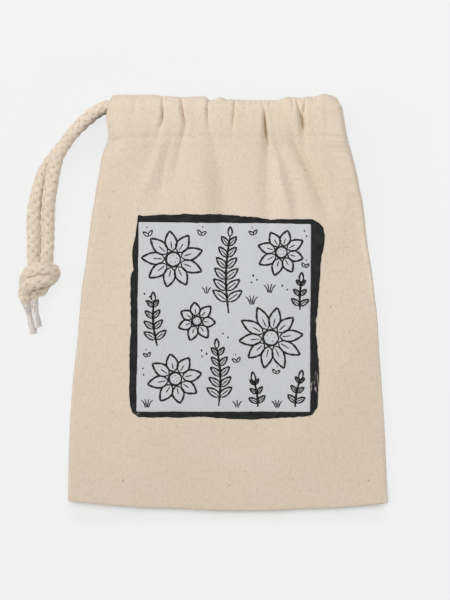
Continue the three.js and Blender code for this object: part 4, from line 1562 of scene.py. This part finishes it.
def sprig(x, y, length, lean, leaves, bend):
    # curved stem with leaves in pairs that shrink towards its tip
    share = np.linspace(0, 1, 7)
    angle = math.pi / 2 + lean
    offset = bend * np.sin(math.pi * share)
    stemX = x + length * share * math.cos(angle) - offset * math.sin(angle)
    stemY = y + length * share * math.sin(angle) + offset * math.cos(angle)
    strokes = [(list(zip(stemX, stemY)), inkWidth["bold"])]
    for k in range(leaves):
        where = 0.16 + 0.72 * k / max(leaves - 1, 1)
        rootX, rootY = np.interp(where, share, stemX), np.interp(where, share, stemY)
        size = leafSize * (1.15 - 0.5 * where) * (length / 26) ** 0.5
        for side in (1, -1):
            leafAngle = angle + side * (1.0 - 0.35 * where)
            strokes += veined(rootX, rootY, leafAngle, size, size * 0.44, "leaf", (0.1, 0.4, 0.7))
    strokes.append((petalLoop(stemX[-1], stemY[-1], angle, 0.7 * leafSize, 0.3 * leafSize), inkWidth["leaf"]))
    return strokes


# The printed design: flowers as place, size, petals and turn; sprigs as root, length, lean, leaf pairs and
# bend; then small marks between them. Places are on the bag's front.
inkWidth = {"bold": 1.15, "petal": 0.95, "leaf": 0.85, "vein": 0.5, "fine": 0.55}
leafSize = 6.6
daisies = [(-25.5, 20.3, 14.2, 9, 0.3), (20.3, -16.5, 15.2, 10, 0.1), (25.2, 23.6, 11.2, 8, 0.5),
           (-24.6, -35.8, 12.6, 8, 0.2), (-14.5, -8.6, 9.2, 7, 0.8)]
sprigs = [(0.5, -5, 36, -0.02, 6, 1.6), (-4.2, -48.5, 27, 0.03, 5, -1.2), (31.8, -49, 13, -0.18, 3, 0.6),
          (14.2, -49, 12, 0.15, 3, -0.6), (-33, -20.5, 21, 0.08, 4, 1), (34, -3.4, 13, -0.04, 3, 0.4)]
tufts = [(10.6, -1, 4.6, 4), (-38.6, -49.3, 4.2, 4), (4, -49.3, 3.6, 3), (22.5, -49.4, 3.8, 4),
         (-10.4, 4.2, 3.6, 3), (19, 4.6, 4.4, 4)]
seedlings = [(-37, 31.2, 3.2, 1), (-12.4, 31.6, 3, -1), (12.2, 31.8, 2.8, 1), (36.2, 16.6, 2.6, -1),
             (-37.6, -25.4, 2.6, 1), (4.4, -28, 2.8, 1), (22.6, -33.4, 2.6, -1)]
dots = [(-39, 4, 1.1), (-36.6, 2.6, 0.9), (-38.2, 0.6, 1), (12, 12.5, 1.1), (13.8, 10.6, 0.9), (11.2, 9.4, 1),
        (-12.2, -22.6, 1), (-9.8, -24.2, 1.1), (-12, -25.4, 0.9), (36, 33.5, 1), (37, 31, 0.9),
        (-2.2, -14.6, 1), (0.2, -16.4, 0.9), (-39.8, -31, 0.9), (-39.4, -34, 1), (25.6, 7.8, 1), (28, 6, 0.9)]


def makePrintLines():
    strokes = [inkDot(*dot) for dot in dots]
    for motif, places in ((daisy, daisies), (sprig, sprigs), (tuft, tufts), (seedling, seedlings)):
        for place in places:
            strokes += motif(*place)
    points, faces = joinFaces([strokeMesh(*stroke) for stroke in strokes])
    print(f"  {len(strokes)} strokes, {2 * len(faces)} triangles")
    return inkPiece("printLines", points, faces, finishes["line"])


clothPieces += [makePrintGround(), makePrintBorder(), makePrintLines()]

print("stage: finish")
